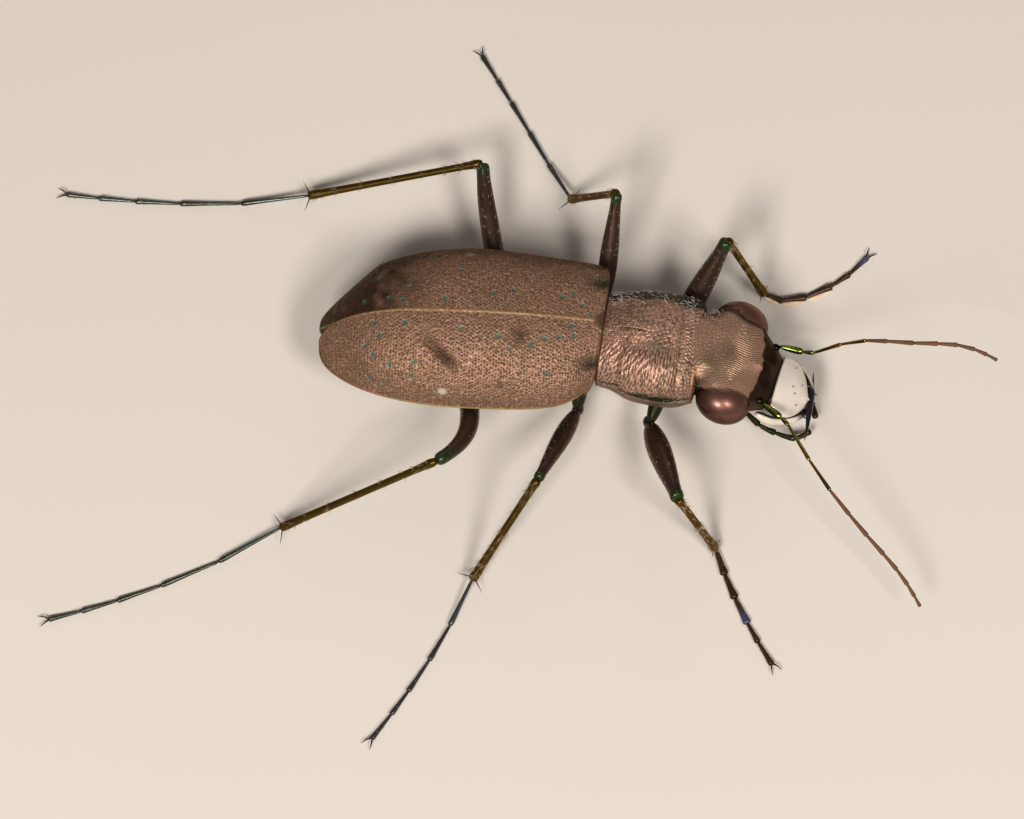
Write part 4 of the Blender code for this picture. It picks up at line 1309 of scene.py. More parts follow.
@dataclass
class Pronotum:
    """The wrinkled barrel behind the head, with its rims and smooth lower flanks."""

    block: Barrel = Barrel(
        stance=PROTHORAX,
        rear=-0.26,
        front=2.84,
        half_width=(1.5, 1.58, 1.79, 1.86, 1.88, 1.82, 1.6),
        top=(3.4, 3.6, 3.74, 3.77, 3.74, 3.6, 3.38),
        bottom=(1.6, 1.42, 1.5),
        waist=(2.5, 2.6, 2.5),
        ends=(0.95, 0.95),
        rounded=0.06,
        power=(2.2, 2.3, 2.2),
        under=(2.8, 3.4, 3.0),
    )
    wrinkle: float = 0.075
    wrinkle_depth: float = 0.017
    rear_sulcus: float = 0.36
    rear_sulcus_depth: float = 0.1
    front_sulcus: float = 2.3
    front_sulcus_depth: float = 0.07
    centre: Pair = (1.35, -0.35)
    near_bulge: Swell = Swell(0.09, (1.45, 0.6), (0.78, 0.22))
    rear_bulge: Swell = Swell(0.06, (0.35, 0.3), (0.8, 0.15))
    hump: Swell = Swell(0.05, (1.95, 0.2), (0.15, 0.3))
    side_hollow: Swell = Swell(-0.06, (1.0, 0.3), (0.55, 0.3))
    far_loss: float = 0.12
    rim_height: float = 0.045
    median_depth: float = 0.05
    border_depth: float = 0.05
    olive_patch: Swell = Swell(0.5, (1.7, 0.35), (-0.45, 0.35))
    coat: Coat = Coat(
        (0.09, 0.2), 0.4, (-0.42, -0.245, 0.21), (-0.25, 0.05, -0.15), lie_spread=0.245
    )

    def rays(self, points: Points) -> Points:
        """Directions of the wrinkles: across the disc, fanning out, and along on the collar."""
        x, y, _ = points.T
        sign = np.where(y > self.centre[1], 1.0, -1.0)
        lean = 0.3 * (x - self.centre[0]) + 0.25 * ripple(points, 2.5, 58)
        out = np.stack([lean, sign, -0.35 * np.abs(y)], axis=1)
        collar = step(self.front_sulcus - 0.05, self.front_sulcus + 0.1, x)[:, None]
        out = out * (1 - collar) + collar * np.array([1.0, 0.0, 0.0])
        return out / (np.linalg.norm(out, axis=1)[:, None] + 1e-6)

    def swirls(self, points: Points) -> Points:
        """Directions of the short wrinkles in the middle, which turn this way and that."""
        turn = 3.0 * ripple(points, 7.0, 59)
        return np.stack([np.cos(turn), np.sin(turn), np.zeros(len(turn))], axis=1)

    def build(self) -> None:
        """The barrel's skin, its rims and its hairs."""
        obj, part, angle = self.block.skin("pronotum", 300, 170)
        points, normals = points_of(obj), normals_of(obj)
        x, y = points[:, 0], points[:, 1]
        level, out = np.sin(angle), np.abs(np.cos(angle))
        above = step(-0.12, 0.05, level)
        form = self.near_bulge.rise(x, out) * (y < 0) + self.rear_bulge.rise(x, out)
        form += self.hump.rise(x, y) + self.side_hollow.rise(x, np.abs(y))
        rear = bump(x, self.rear_sulcus, 0.13) * step(0.2, 0.9, np.abs(y))
        form -= self.rear_sulcus_depth * rear
        form -= self.front_sulcus_depth * bump(x, self.front_sulcus, 0.09)
        form *= above
        form -= self.far_loss * step(0.9, 1.7, y) * step(0.2, 0.8, x) * step(2.4, 2.0, x)
        median = bump(y, 0.03 * np.sin(4 * x), 0.025) * step(0.15, 0.3, x) * step(1.5, 1.0, x)
        rims = bump(x, self.block.rear + 0.05, 0.03) + bump(x, self.block.front - 0.05, 0.035)
        rims = np.clip(rims, 0, 1) * step(-0.5, -0.2, level)
        streaks = wrinkles(points, self.rays, self.wrinkle, 4, 51)
        knots = wrinkles(points, self.swirls, 0.8 * self.wrinkle, 2, 52)
        grain = ripple(points, 75.0, 54, 26)
        drawn = np.clip(step(-0.3, -0.75, y) + step(1.15, 1.5, y) + step(2.2, 2.4, x), 0, 1)
        lines = streaks * drawn + 0.8 * knots * (1 - drawn) + 0.35 * grain
        calm = above * (1 - rims)
        height = calm * self.wrinkle_depth * lines + form
        height += self.rim_height * rims - self.median_depth * median * above
        height -= self.border_depth * bump(level, -0.05, 0.05)
        set_points(obj, points + normals * height[:, None])
        # Painted shade in the wrinkles' furrows.
        paint(obj, "deep", calm * np.clip(0.3 - 0.55 * lines, 0, 0.8))
        olive = step(0.0, 0.9, ripple(points, 2.0, 55, 14)) * 0.5
        olive += self.olive_patch.rise(x, y)
        wavy = 0.1 * ripple(points, 6.0, 56)
        flank = np.maximum(step(1.05, 1.27, y + wavy), step(-1.76, -1.86, y + 0.3 * wavy)) * above
        corner = bump(x, 0.1, 0.4) * step(0.85, 1.15, y + wavy) * above
        dark = np.maximum.reduce([flank * 0.92, 0.9 * median, 0.8 * corner])
        paint(obj, "smudge", olive * above * (1 - rims))
        border = 0.95 * bump(level, 0.05, 0.07) * (y < 0) + bump(level, -0.13, 0.06) * (y > 0)
        paint(obj, "patch", np.clip(dark + border, 0, 1))
        paint(obj, "edge", rims)
        paint(obj, "spot", step(-0.02, -0.1, level) * (0.93 + 0.07 * ripple(points, 3.0, 57)))
        self.hair(obj, part, angle)
        hand_over(obj, "pronotum", Finish.PRONOTUM, ["prothorax"], self.block.stance)

    def hair(self, obj: Piece, part: Points, angle: Points) -> None:
        """Silvery hairs: thick on the flanks, tufted at the corners, thin on the disc."""
        hairs = Hairs("pronotum_hairs", Finish.WHITE_HAIR, "prothorax", radius=0.0065)
        draw = default_rng(61)
        points, normals = points_of(obj), normals_of(obj)
        out, level = np.abs(np.cos(angle)), np.sin(angle)
        flank = step(0.6, 0.85, out) * step(-0.08, 0.05, level) * (0.5 + (points[:, 1] > 0))
        corner = bump(points[:, 0], 2.45, 0.25) * step(0.55, 0.75, out) * (level > -0.15)
        corner += bump(points[:, 0], 0.1, 0.25) * step(0.6, 0.8, out) * (level > -0.05)
        chance = 0.03 * flank + 0.06 * corner + 0.006 * (level > 0.3)
        chosen = (draw.uniform(size=len(points)) < chance) & (part > 0.03) & (part < 0.97)
        unwrap = np.stack([part[chosen], (angle[chosen] / math.pi + 1.3) / 2.6], axis=1)
        out = normals[chosen]
        hairs.sow(self.block.stance, points[chosen], out, self.coat, unwrap, draw)
        hairs.build()


# Head


@dataclass
class Head:
    """The head's skin, its eyes and the dark shield of its face."""

    block: Barrel = Barrel(
        stance=HEAD,
        rear=-2.1,
        front=1.4,
        half_width=(0.95, 1.1, 1.4, 1.64, 1.52, 1.17, 0.96),
        top=(0.46, 0.58, 0.68, 0.72, 0.66, 0.42, 0.0),
        bottom=(-0.95, -1.05, -1.15, -1.2, -1.2, -1.15, -1.05),
        waist=(-0.15, -0.15, -0.15, -0.15, -0.2, -0.35, -0.5),
        ends=(0.94, 0.85),
        power=(2.3, 2.6, 3.6, 5.0, 4.6, 3.2, 2.6),
        under=(2.2, 2.3, 2.5, 3.0, 3.0, 2.6, 2.4),
        dome=0.05,
    )
    eye_place: dict[str, Place] = table({
        "left": (-0.26, 1.3, -0.04),
        "right": (-0.1, 1.38, -0.04),
    })
    eye_radii: Place = (0.88, 0.72, 0.7)
    shear: float = 0.055
    stria: float = 0.07
    stria_depth: float = 0.011
    stria_middle: Pair = (-0.2, 1.5)
    face_edge: float = 0.5
    brow: Swell = Swell(0.07, (-0.25, 0.75), (0.1, 0.09))
    crown_hollow: Swell = Swell(-0.06, (0.0, 0.7), (0.0, 0.7))
    face_pit: Swell = Swell(-0.1, (0.85, 0.25), (0.45, 0.2))
    face_keel: Swell = Swell(0.06, (0.9, 0.3), (0.0, 0.22))
    cheek: Swell = Swell(0.2, (0.35, 0.4), (-0.78, 0.26))
    green_patch: Swell = Swell(0.55, (-1.05, 0.35), (-0.55, 0.4))
    coat: Coat = Coat((0.08, 0.18), 0.6, (-0.3, 0, 0.2), (-0.3, 0, 0), lie_spread=0.25)
    facets: float = 110.0
    facet_height: float = 0.0008

    def build(self) -> None:
        """Skin, eyes, and the plate of the face."""
        self.skin()
        for side_name in SIDES:
            self.eye(side_name)
        self.clypeus()

    def skin(self) -> None:
        """The finely lined crown, darkening to a black-brown face."""
        obj, part, angle = self.block.skin("crown", 300, 180)
        points, normals = points_of(obj), normals_of(obj)
        x, y, z = points.T
        half_width = through(self.block.half_width, part)
        above = step(0.0, 0.3, np.sin(angle))
        edge = half_width - np.abs(y)
        eye_at = np.hypot((x - self.stria_middle[0]) * 0.9, np.abs(y) - self.stria_middle[1])
        warp = 0.05 * ripple(points, 4.0, 71) + 0.02 * ripple(points, 12.0, 72)
        lines = np.sin(2 * math.pi * (eye_at + warp) / self.stria)
        lines *= 0.7 + 0.4 * ripple(points, 9.0, 77, 14)
        grain = ripple(points, 70.0, 73, 26)
        neck = step(-0.45, -0.85, x + 0.15 * ripple(points, 3.0, 75))
        middle = bump(y, 0.05, 0.35) * bump(x, -0.5, 0.3)
        granular = np.clip(neck + middle, 0, 1)
        lined = lines * (1 - granular) + grain * granular
        uneven = 0.06 * ripple(points, 6.0, 74) + 0.05 * ripple(points, 22.0, 76)
        edge_of_face = self.face_edge + 0.16 * (1 - y**2) + uneven
        front = step(-0.03, 0.05, x - edge_of_face)
        height = self.stria_depth * (1 - front) * (lined + 0.3 * grain)
        height += self.brow.rise(x, edge) + self.crown_hollow.rise(x, y)
        height += self.face_pit.rise(x, np.abs(y)) + self.face_keel.rise(x, y)
        height = height * above + self.cheek.rise(x, z)
        height -= 0.05 * bump(x, -1.1, 0.22) * step(0.6, 0.9, np.abs(y)) * (z > -0.4)
        points = points + normals * height[:, None]
        points[:, 0] -= self.shear * points[:, 1] * step(1.2, 0.3, x)
        set_points(obj, points)
        # Painted shade in the furrows between the striae.
        paint(obj, "deep", above * (1 - front) * np.clip(0.32 - 0.5 * lined, 0, 0.75))
        side = step(0.12, 0.0, z + 0.12 * bump(x, -1.2, 0.5))
        # Painted shade in the hollow behind each eye and at the right corner of the neck.
        behind = bump(x, -1.2, 0.25) * step(0.95, 1.2, np.abs(y))
        behind += 0.8 * step(-1.15, -1.6, x) * step(-0.35, -0.75, y)
        paint(obj, "patch", np.clip(side + 0.9 * behind, 0, 1) * (1 - front))
        # Painted shade in the gap under the brow beside each eye.
        wall = 0.9 * step(0.06, 0.0, edge) * step(0.72, 0.6, z) * bump(x, -0.2, 0.9)
        eyes = [np.array(self.eye_place[name]) * [1, side, 1] for name, side in SIDES.items()]
        from_eye = [np.linalg.norm((points - eye) / self.eye_radii, axis=1) for eye in eyes]
        rim = 0.85 * step(1.1, 1.03, np.minimum(*from_eye)) * step(-1.0, -0.8, x)
        # The black-brown face in front is its own colour.
        paint(obj, "shade", np.clip(np.maximum(front, np.maximum(wall, rim)), 0, 1))
        green = 0.7 * step(0.2, 0.9, ripple(points, 2.6, 78, 14)) + 0.5 * middle
        green += self.green_patch.rise(x, y)
        paint(obj, "smudge", green * above)
        # Painted highlight: a paler pink band along the brow ridge over each eye.
        paint(obj, "edge", 0.8 * bump(edge, 0.09, 0.05) * above * bump(x, -0.2, 0.7))
        self.hair(obj, part, angle)
        hand_over(obj, "crown", Finish.VERTEX, ["head"], self.block.stance)

    def hair(self, obj: Piece, part: Points, angle: Points) -> None:
        """Silvery hairs behind the eyes and on the cheeks."""
        hairs = Hairs("head_hairs", Finish.WHITE_HAIR, "head", radius=0.0065)
        draw = default_rng(81)
        points, normals = points_of(obj), normals_of(obj)
        behind = step(-0.9, -1.2, points[:, 0]) * step(0.7, 0.9, np.abs(np.cos(angle)))
        chance = 0.03 * behind * (np.sin(angle) > -0.5) * (points[:, 0] > -1.75)
        chance += 0.004 * (np.sin(angle) < -0.3)
        chosen = draw.uniform(size=len(points)) < chance
        unwrap = np.stack([part[chosen], (angle[chosen] / math.pi + 1.3) / 2.6], axis=1)
        out = normals[chosen]
        hairs.sow(self.block.stance, points[chosen], out, self.coat, unwrap, draw)
        hairs.build()

    def eye(self, side_name: str) -> None:
        """A big glossy eye, finely faceted."""
        obj = ball("eye", 160, 120)
        unit = points_of(obj)
        across, along, up = (unit * self.facets).T
        cells = np.sin(across) * np.sin(up + along / 2)
        points = unit * (1 + self.facet_height * cells)[:, None] * np.array(self.eye_radii)
        x, y, z = self.eye_place[side_name]
        side = SIDES[side_name]
        set_points(obj, points + np.array([x, side * y, z]))
        # Darker towards its edges: partly a dark rim of its own, partly painted shade and
        # reflection.
        paint(obj, "deep", 0.85 * step(0.92, 0.4, unit @ [0.0, 0.35 * side, 0.94]))
        name, nodes = f"eye_ball_{side_name}", [f"eye_{side_name}"]
        hand_over(obj, name, Finish.EYE, nodes, self.block.stance, 180.0)

    def clypeus(self) -> None:
        """The narrow plate between the face and the upper lip."""
        obj = ball("clypeus", 72, 48)
        unit = squared(points_of(obj), 4.0)
        points = unit * [0.13, 0.8, 0.1] + [1.4, -0.04, -0.13]
        points[:, 0] -= 0.1 * unit[:, 1] ** 2
        points[:, 2] -= 0.14 * unit[:, 1] ** 2
        set_points(obj, points)
        hand_over(obj, "clypeus", Finish.CLYPEUS, stance=self.block.stance)


@dataclass
class Mouth:
    """Upper lip, mandibles and palps, in the head's frame."""

    stance: Stance = HEAD
    lip_rear: float = 1.44
    lip_front: float = 2.56
    lip_half_width: Row = (0.88, 0.93, 0.89, 0.7, 0.44)
    lip_shift: Pair = (-0.06, -0.18)
    lip_top: Pair = (0.03, -0.14)
    pores: tuple[Pair, ...] = (
        (1.88, 0.66), (2.22, 0.17), (2.22, -0.53), (1.93, -0.02), (2.05, -0.21),
    )
    jaw_profile: tuple[Place, ...] = (
        (0.0, 0.12, 0.14), (0.12, 0.15, 0.17), (0.28, 0.14, 0.16), (0.42, 0.125, 0.14),
        (0.55, 0.115, 0.14), (0.68, 0.095, 0.11), (0.82, 0.06, 0.07), (0.95, 0.025, 0.025),
        (1.0, 0.006, 0.006),
    )
    mandibles: dict[str, tuple[Place, ...]] = table({
        "left": (
            (1.05, 0.9, -0.8), (1.75, 0.95, -0.78), (2.3, 0.72, -0.68), (2.61, 0.3, -0.58),
            (2.7, -0.11, -0.52), (2.77, -0.6, -0.5), (2.84, -1.04, -0.5),
            (2.88, -1.45, -0.52),
        ),
        "right": (
            (1.13, 1.05, -0.8), (1.72, 1.06, -0.84), (2.3, 0.8, -0.84), (2.66, 0.42, -0.84),
            (2.78, 0.02, -0.82), (2.68, -0.42, -0.72), (2.52, -0.91, -0.55),
        ),
    })
    teeth: tuple[tuple[int, float], ...] = ((18, 0.8), (22, 0.7), (26, 0.5))
    outer_palps: dict[str, tuple[Place, ...]] = table({
        "left": (
            (0.7, 0.85, -1.1), (1.5, 1.0, -1.45), (2.2, 0.92, -1.5), (2.75, 0.52, -1.45),
            (3.2, -0.22, -1.4),
        ),
        "right": (
            (0.7, 0.9, -1.1), (1.5, 1.12, -1.4), (2.1, 1.16, -1.45), (2.75, 1.1, -1.42),
            (3.15, 0.71, -1.35),
        ),
    })
    lip_palp: tuple[Place, ...] = (
        (0.9, 0.2, -0.9), (1.6, 0.36, -1.4), (2.2, 0.42, -1.48), (2.7, 0.3, -1.4),
    )

    def upper_lip(self) -> None:
        """The ivory plate over the jaws, with bristle pores near its edge."""
        obj = sheet("upper_lip", 80, 64)
        unit = points_of(obj) + 0.5
        part, across = unit[:, 0], unit[:, 1] * 2 - 1
        width = through(self.lip_half_width, part) * (1 - part**7) ** 0.5 + 0.03
        x = self.lip_rear + (self.lip_front - self.lip_rear) * part
        x += 0.05 * part**5 * bump(across, 0.0, 0.3) - 0.07 * (1 - part) ** 2 * (1 - across**2)
        top = self.lip_top[0] + (self.lip_top[1] - self.lip_top[0]) * part
        z = top - 0.2 * across**2 - 0.12 * part**3 + 0.03 * bump(across, 0, 0.4) * (1 - part)
        shift = self.lip_shift[0] + (self.lip_shift[1] - self.lip_shift[0]) * part
        points = np.stack([x, width * across + shift, z], axis=1)
        points[:, 2] += 0.008 * ripple(points, 7.0, 91)
        pores = np.array(self.pores)
        far = np.linalg.norm(points[:, None, :2] - pores[None], axis=2).min(axis=1)
        points[:, 2] -= 0.025 * bump(far, 0.0, 0.03)
        set_points(obj, points)
        paint(obj, "deep", bump(far, 0.0, 0.032))
        paint(obj, "edge", 0.5 * step(0.04, 0.0, part) + 0.35 * step(0.97, 1.0, part))
        wall = obj.modifiers.new("wall", "SOLIDIFY")
        wall.thickness, wall.offset = 0.14, -1
        take(obj)
        bpy.ops.object.modifier_apply(modifier=wall.name)
        hand_over(obj, "upper_lip", Finish.IVORY, ["labrum"], self.stance)
        hairs = Hairs("lip_bristles", Finish.WHITE_HAIR, "labrum", radius=0.006)
        roots = np.column_stack([pores, np.full(len(pores), -0.16)])
        ways = np.array([0.3, 0.0, 0.12]) + roots * [0, 0.08, 0]
        hairs.add(roots, ways, ways * [0.1, 0.3, -0.2], pores / 4 + 0.3, self.stance)
        hairs.build()

    def jaws(self) -> None:
        """Two curved, toothed blades that cross in front of the lip."""
        tooth = turned("tooth", ((-0.1, 0.09, 0.07), (0.1, 0.06, 0.05), (0.28, 0.01)), 8, 1)
        for side_name, side in SIDES.items():
            blade = turned("blade", self.jaw_profile, 16, 2)
            path = smooth_path(np.array(self.mandibles[side_name]) * [1, side, 1], 40)
            unit = points_of(blade)
            bend_along(blade, path)
            outer = step(-0.01, 0.04, unit[:, 1] * side + 0.1 * unit[:, 2])
            paint(blade, "spot", step(0.46, 0.36, unit[:, 0]) * outer)
            paint(blade, "edge", step(0.86, 1.0, unit[:, 0]) * 0.8)
            pieces = [blade]
            for place, size in self.teeth:
                here, ahead = Vector(path[place]), Vector(path[place + 1] - path[place - 1])
                inward = Vector((-ahead.y, ahead.x, 0)).normalized() * side
                matrix = frame_along(here, inward + ahead.normalized() * 0.35)
                pieces.append(copy_of(tooth, matrix @ Matrix.Scale(size, 4)))
            jaw = join(pieces, f"jaw_{side_name}")
            hand_over(
                jaw, jaw.name, Finish.JAW, [f"mandible_{side_name}"], self.stance
            )
        drop(tooth)

    def palp(
        self, named: Sequence[Sequence[float]], side: float, radius: float, joints: int
    ) -> Piece:
        """A palp of a few slender joints along its path, its tip browner."""
        path = smooth_path(np.array(named) * [1, side, 1], 12 * joints + 1)
        shape = ((0.0, 0.5), (0.06, 0.7), (0.5, 0.8), (0.88, 1.1), (0.97, 1.0), (1.0, 0.55))
        joint = turned("palp_joint", [(x, radius * size) for x, size in shape], 12, 1)
        pieces = []
        for index in range(joints):
            piece = copy_of(joint, Matrix.Identity(4))
            bend_along(piece, path[12 * index : 12 * index + 13])
            paint(piece, "smudge", 0.8 * (index == joints - 1))
            pieces.append(piece)
        drop(joint)
        return join(pieces, "palp")

    def palps(self) -> None:
        """The outer palps, and the lower lip with the inner ones."""
        for side_name, side in SIDES.items():
            palp = self.palp(self.outer_palps[side_name], side, 0.105, 4)
            name = f"outer_palp_{side_name}"
            hand_over(palp, f"{name}_joints", Finish.PALP, [name], self.stance)
        both = [self.palp(self.lip_palp, side, 0.1, 3) for side in SIDES.values()]
        chin = ball("chin", 48, 24)
        set_points(chin, points_of(chin) * [0.62, 0.62, 0.16] + [1.05, 0, -1.18])
        lip = join([*both, chin], "lower_lip_palps")
        hand_over(lip, "lower_lip_palps", Finish.PALP, ["lower_lip"], self.stance)

    def build(self) -> None:
        """Everything round the mouth."""
        self.upper_lip()
        self.jaws()
        self.palps()


@dataclass
class Feelers:
    """Two threadlike feelers of eleven joints."""

    joints: Row = (0.76, 0.36, 1.42, 1.22, 0.97, 0.87, 0.77, 0.63, 0.57, 0.43, 0.37)
    radii: Row = (
        0.115, 0.072, 0.064, 0.062, 0.07, 0.075, 0.075, 0.073, 0.07, 0.066, 0.058,
    )
    base_joints: int = 4
    socket: Place = (1.1, 1.02, 0.1)
    cup: Place = (0.14, 0.12, 0.1)
    cup_inset: Place = (0.1, 0.07, 0.02)
    poses: dict[str, tuple[Row, Row]] = table({
        "left": ((-13, -14, -26, 3, -22), (-10, 58, 44, -10, -22)),
        "right": ((-38, -65, -52, -47, -57), (3, 9, -8, -13, -28)),
    })

    @staticmethod
    def eased(values: Sequence[float], part: float) -> float:
        """Value at part of the way along evenly spaced values."""
        place = part * (len(values) - 1)
        index = min(int(place), len(values) - 2)
        rest = place - index
        ease = rest * rest * (3 - 2 * rest)
        return values[index] * (1 - ease) + values[index + 1] * ease

    def path(self, side_name: str) -> list[Vector]:
        """The feeler's joints, from its socket to its tip."""
        turns, rises = self.poses[side_name]
        x, y, z = self.socket
        places = [HEAD.matrix() @ Vector((x, SIDES[side_name] * y, z))]
        total, gone = sum(self.joints), 0.0
        for length in self.joints:
            part = (gone + length / 2) / total
            way = heading(self.eased(turns, part), self.eased(rises, part))
            places.append(places[-1] + way * length)
            gone += length
        return places

    def build(self) -> None:
        """Both feelers and the few bristles on their third joint."""
        stout = ((0.0, 0.4), (0.08, 0.6), (0.3, 0.9), (0.7, 1.05), (0.93, 1.0), (1.0, 0.55))
        slim = ((0.0, 0.55), (0.04, 0.75), (0.4, 0.84), (0.82, 1.0), (0.95, 1.15), (1.0, 0.7))
        forms = [turned("joint", shape, 14, 1) for shape in (stout, slim)]
        hairs = Hairs("feeler_bristles", Finish.WHITE_HAIR, "feeler_base", radius=0.006)
        for side_name in SIDES:
            places = self.path(side_name)
            pieces = []
            for index, (length, radius) in enumerate(zip(self.joints, self.radii)):
                ahead = places[index + 1] - places[index]
                frame = frame_along(places[index], ahead)
                size = Matrix.Diagonal((length * 1.015, radius, radius, 1))
                piece = copy_of(forms[0 if index < 2 else 1], frame @ size)
                own = (points_of(piece) - np.array(places[index])) @ np.array(frame.to_3x3())
                ends = 0.8 * step(0.05, 0.0, own[:, 0] / length)
                # Dark flanks and underside on the base joints: partly black stripes, partly
                # painted shade.
                if index < self.base_joints:
                    flank = step(0.35, 0.6, np.abs(own[:, 1]) / radius)
                    ends = np.maximum(ends, 0.95 * np.maximum(flank, own[:, 2] < 0))
                paint(piece, "deep", ends)
                # Copper-red patches: partly the joints' own copper, partly painted glints.
                glow = bump(own[:, 0] / length, 0.85, 0.2) * (index == 2)
                glow += bump(own[:, 0] / length, 0.3, 0.25) * (index == 3)
                paint(piece, "patch", 0.6 * glow)
                pieces.append(piece)
            cup = ball("socket", 24, 16)
            middle = np.array(self.socket) - self.cup_inset
            points = (points_of(cup) * self.cup + middle) * [1, SIDES[side_name], 1]
            set_points(cup, HEAD.move(points))
            turn_outward(cup)
            paint(cup, "shade", 1.0)
            base = join([*pieces[: self.base_joints], cup], "base")
            whip = join(pieces[self.base_joints :], "whip")
            self.bristles(places, hairs)
            node = f"feeler_{side_name}"
            hand_over(base, f"{node}_bright", Finish.FEELER_BASE, [f"{node}_base"])
            hand_over(whip, f"{node}_dull", Finish.WHIP, [f"{node}_whip"])
        hairs.build()
        drop(*forms)

    def bristles(self, places: list[Vector], hairs: Hairs) -> None:
        """A short row of pale bristles along the third and fourth joint."""
        roots, ways = [], []
        for index in (2, 3):
            for part in np.linspace(0.12, 0.9, 5):
                ahead = (places[index + 1] - places[index]).normalized()
                side = ahead.cross(Vector((0, 0, 1))).normalized()
                roots.append(places[index].lerp(places[index + 1], part))
                ways.append((side * 0.9 + ahead * 0.5) * 0.2)
        unwrap = np.stack([np.linspace(0.1, 0.9, len(roots)), np.full(len(roots), 0.5)], axis=1)
        ways = np.array(ways)
        hairs.add(np.array(roots), ways, ways * 0.1, unwrap)


# Legs

# Each form's sides, its levels of subdivision, and the place and radius of its rings
LEG_FORMS: dict[str, tuple[int, int, Sequence[Row]]] = {
    "femur": (16, 2, (
        (0.0, 0.36), (0.03, 0.5), (0.1, 0.76), (0.24, 0.97), (0.4, 1.0), (0.6, 0.86),
        (0.78, 0.66), (0.88, 0.56), (0.93, 0.56), (0.97, 0.6), (0.995, 0.5), (1.0, 0.25),
    )),
    "long_femur": (16, 2, (
        (0.0, 0.4), (0.05, 0.62), (0.15, 0.85), (0.35, 1.0), (0.58, 0.99), (0.78, 0.85),
        (0.89, 0.71), (0.94, 0.68), (0.975, 0.7), (0.995, 0.55), (1.0, 0.25),
    )),
    "tibia": (12, 1, (
        (0.0, 0.6), (0.012, 1.0), (0.04, 1.15), (0.09, 0.9), (0.16, 0.84), (0.5, 0.84),
        (0.88, 0.9), (0.96, 1.15), (0.99, 1.12), (1.0, 0.7),
    )),
    "tarsus": (12, 1, (
        (0.0, 0.45), (0.03, 0.62), (0.3, 0.72), (0.7, 0.9), (0.9, 1.15), (0.97, 1.12), (1.0, 0.6),
    )),
    "spine": (8, 1, ((0.0, 1.0), (0.3, 0.8), (0.7, 0.45), (1.0, 0.06))),
    "claw": (8, 1, ((0.0, 0.032), (0.4, 0.028), (0.75, 0.018), (1.0, 0.005))),
    "bead": (14, 1, (
        (-1.0, 0.2), (-0.85, 0.62), (-0.4, 0.98), (0.2, 1.0), (0.75, 0.72), (1.0, 0.3),
    )),
}


@dataclass(frozen=True)
class LegSizes:
    """Lengths and true radii of a pair of legs, and its tarsus joints."""

    femur: float
    tibia: float
    tarsus: float
    femur_radius: float
    tibia_radius: float
    tarsus_radius: float
    tarsus_joints: Row
    spur: float
    coxa: Place
    thigh_form: str = "femur"


@dataclass(frozen=True)
class LegPose:
    """How one leg stands: its hip, then headings and rises in degrees.

    accent is the tarsus joint with a colour of its own, bow how far the thigh
    bends forward, and pad_reach how far the front pads show beside their joints.
    """

    hip: Place
    femur: Pair
    tibia: Pair
    tarsus: Pair
    foot: Finish
    accent: int = -1
    bow: float = 0.0
    pad_reach: float = 0.0


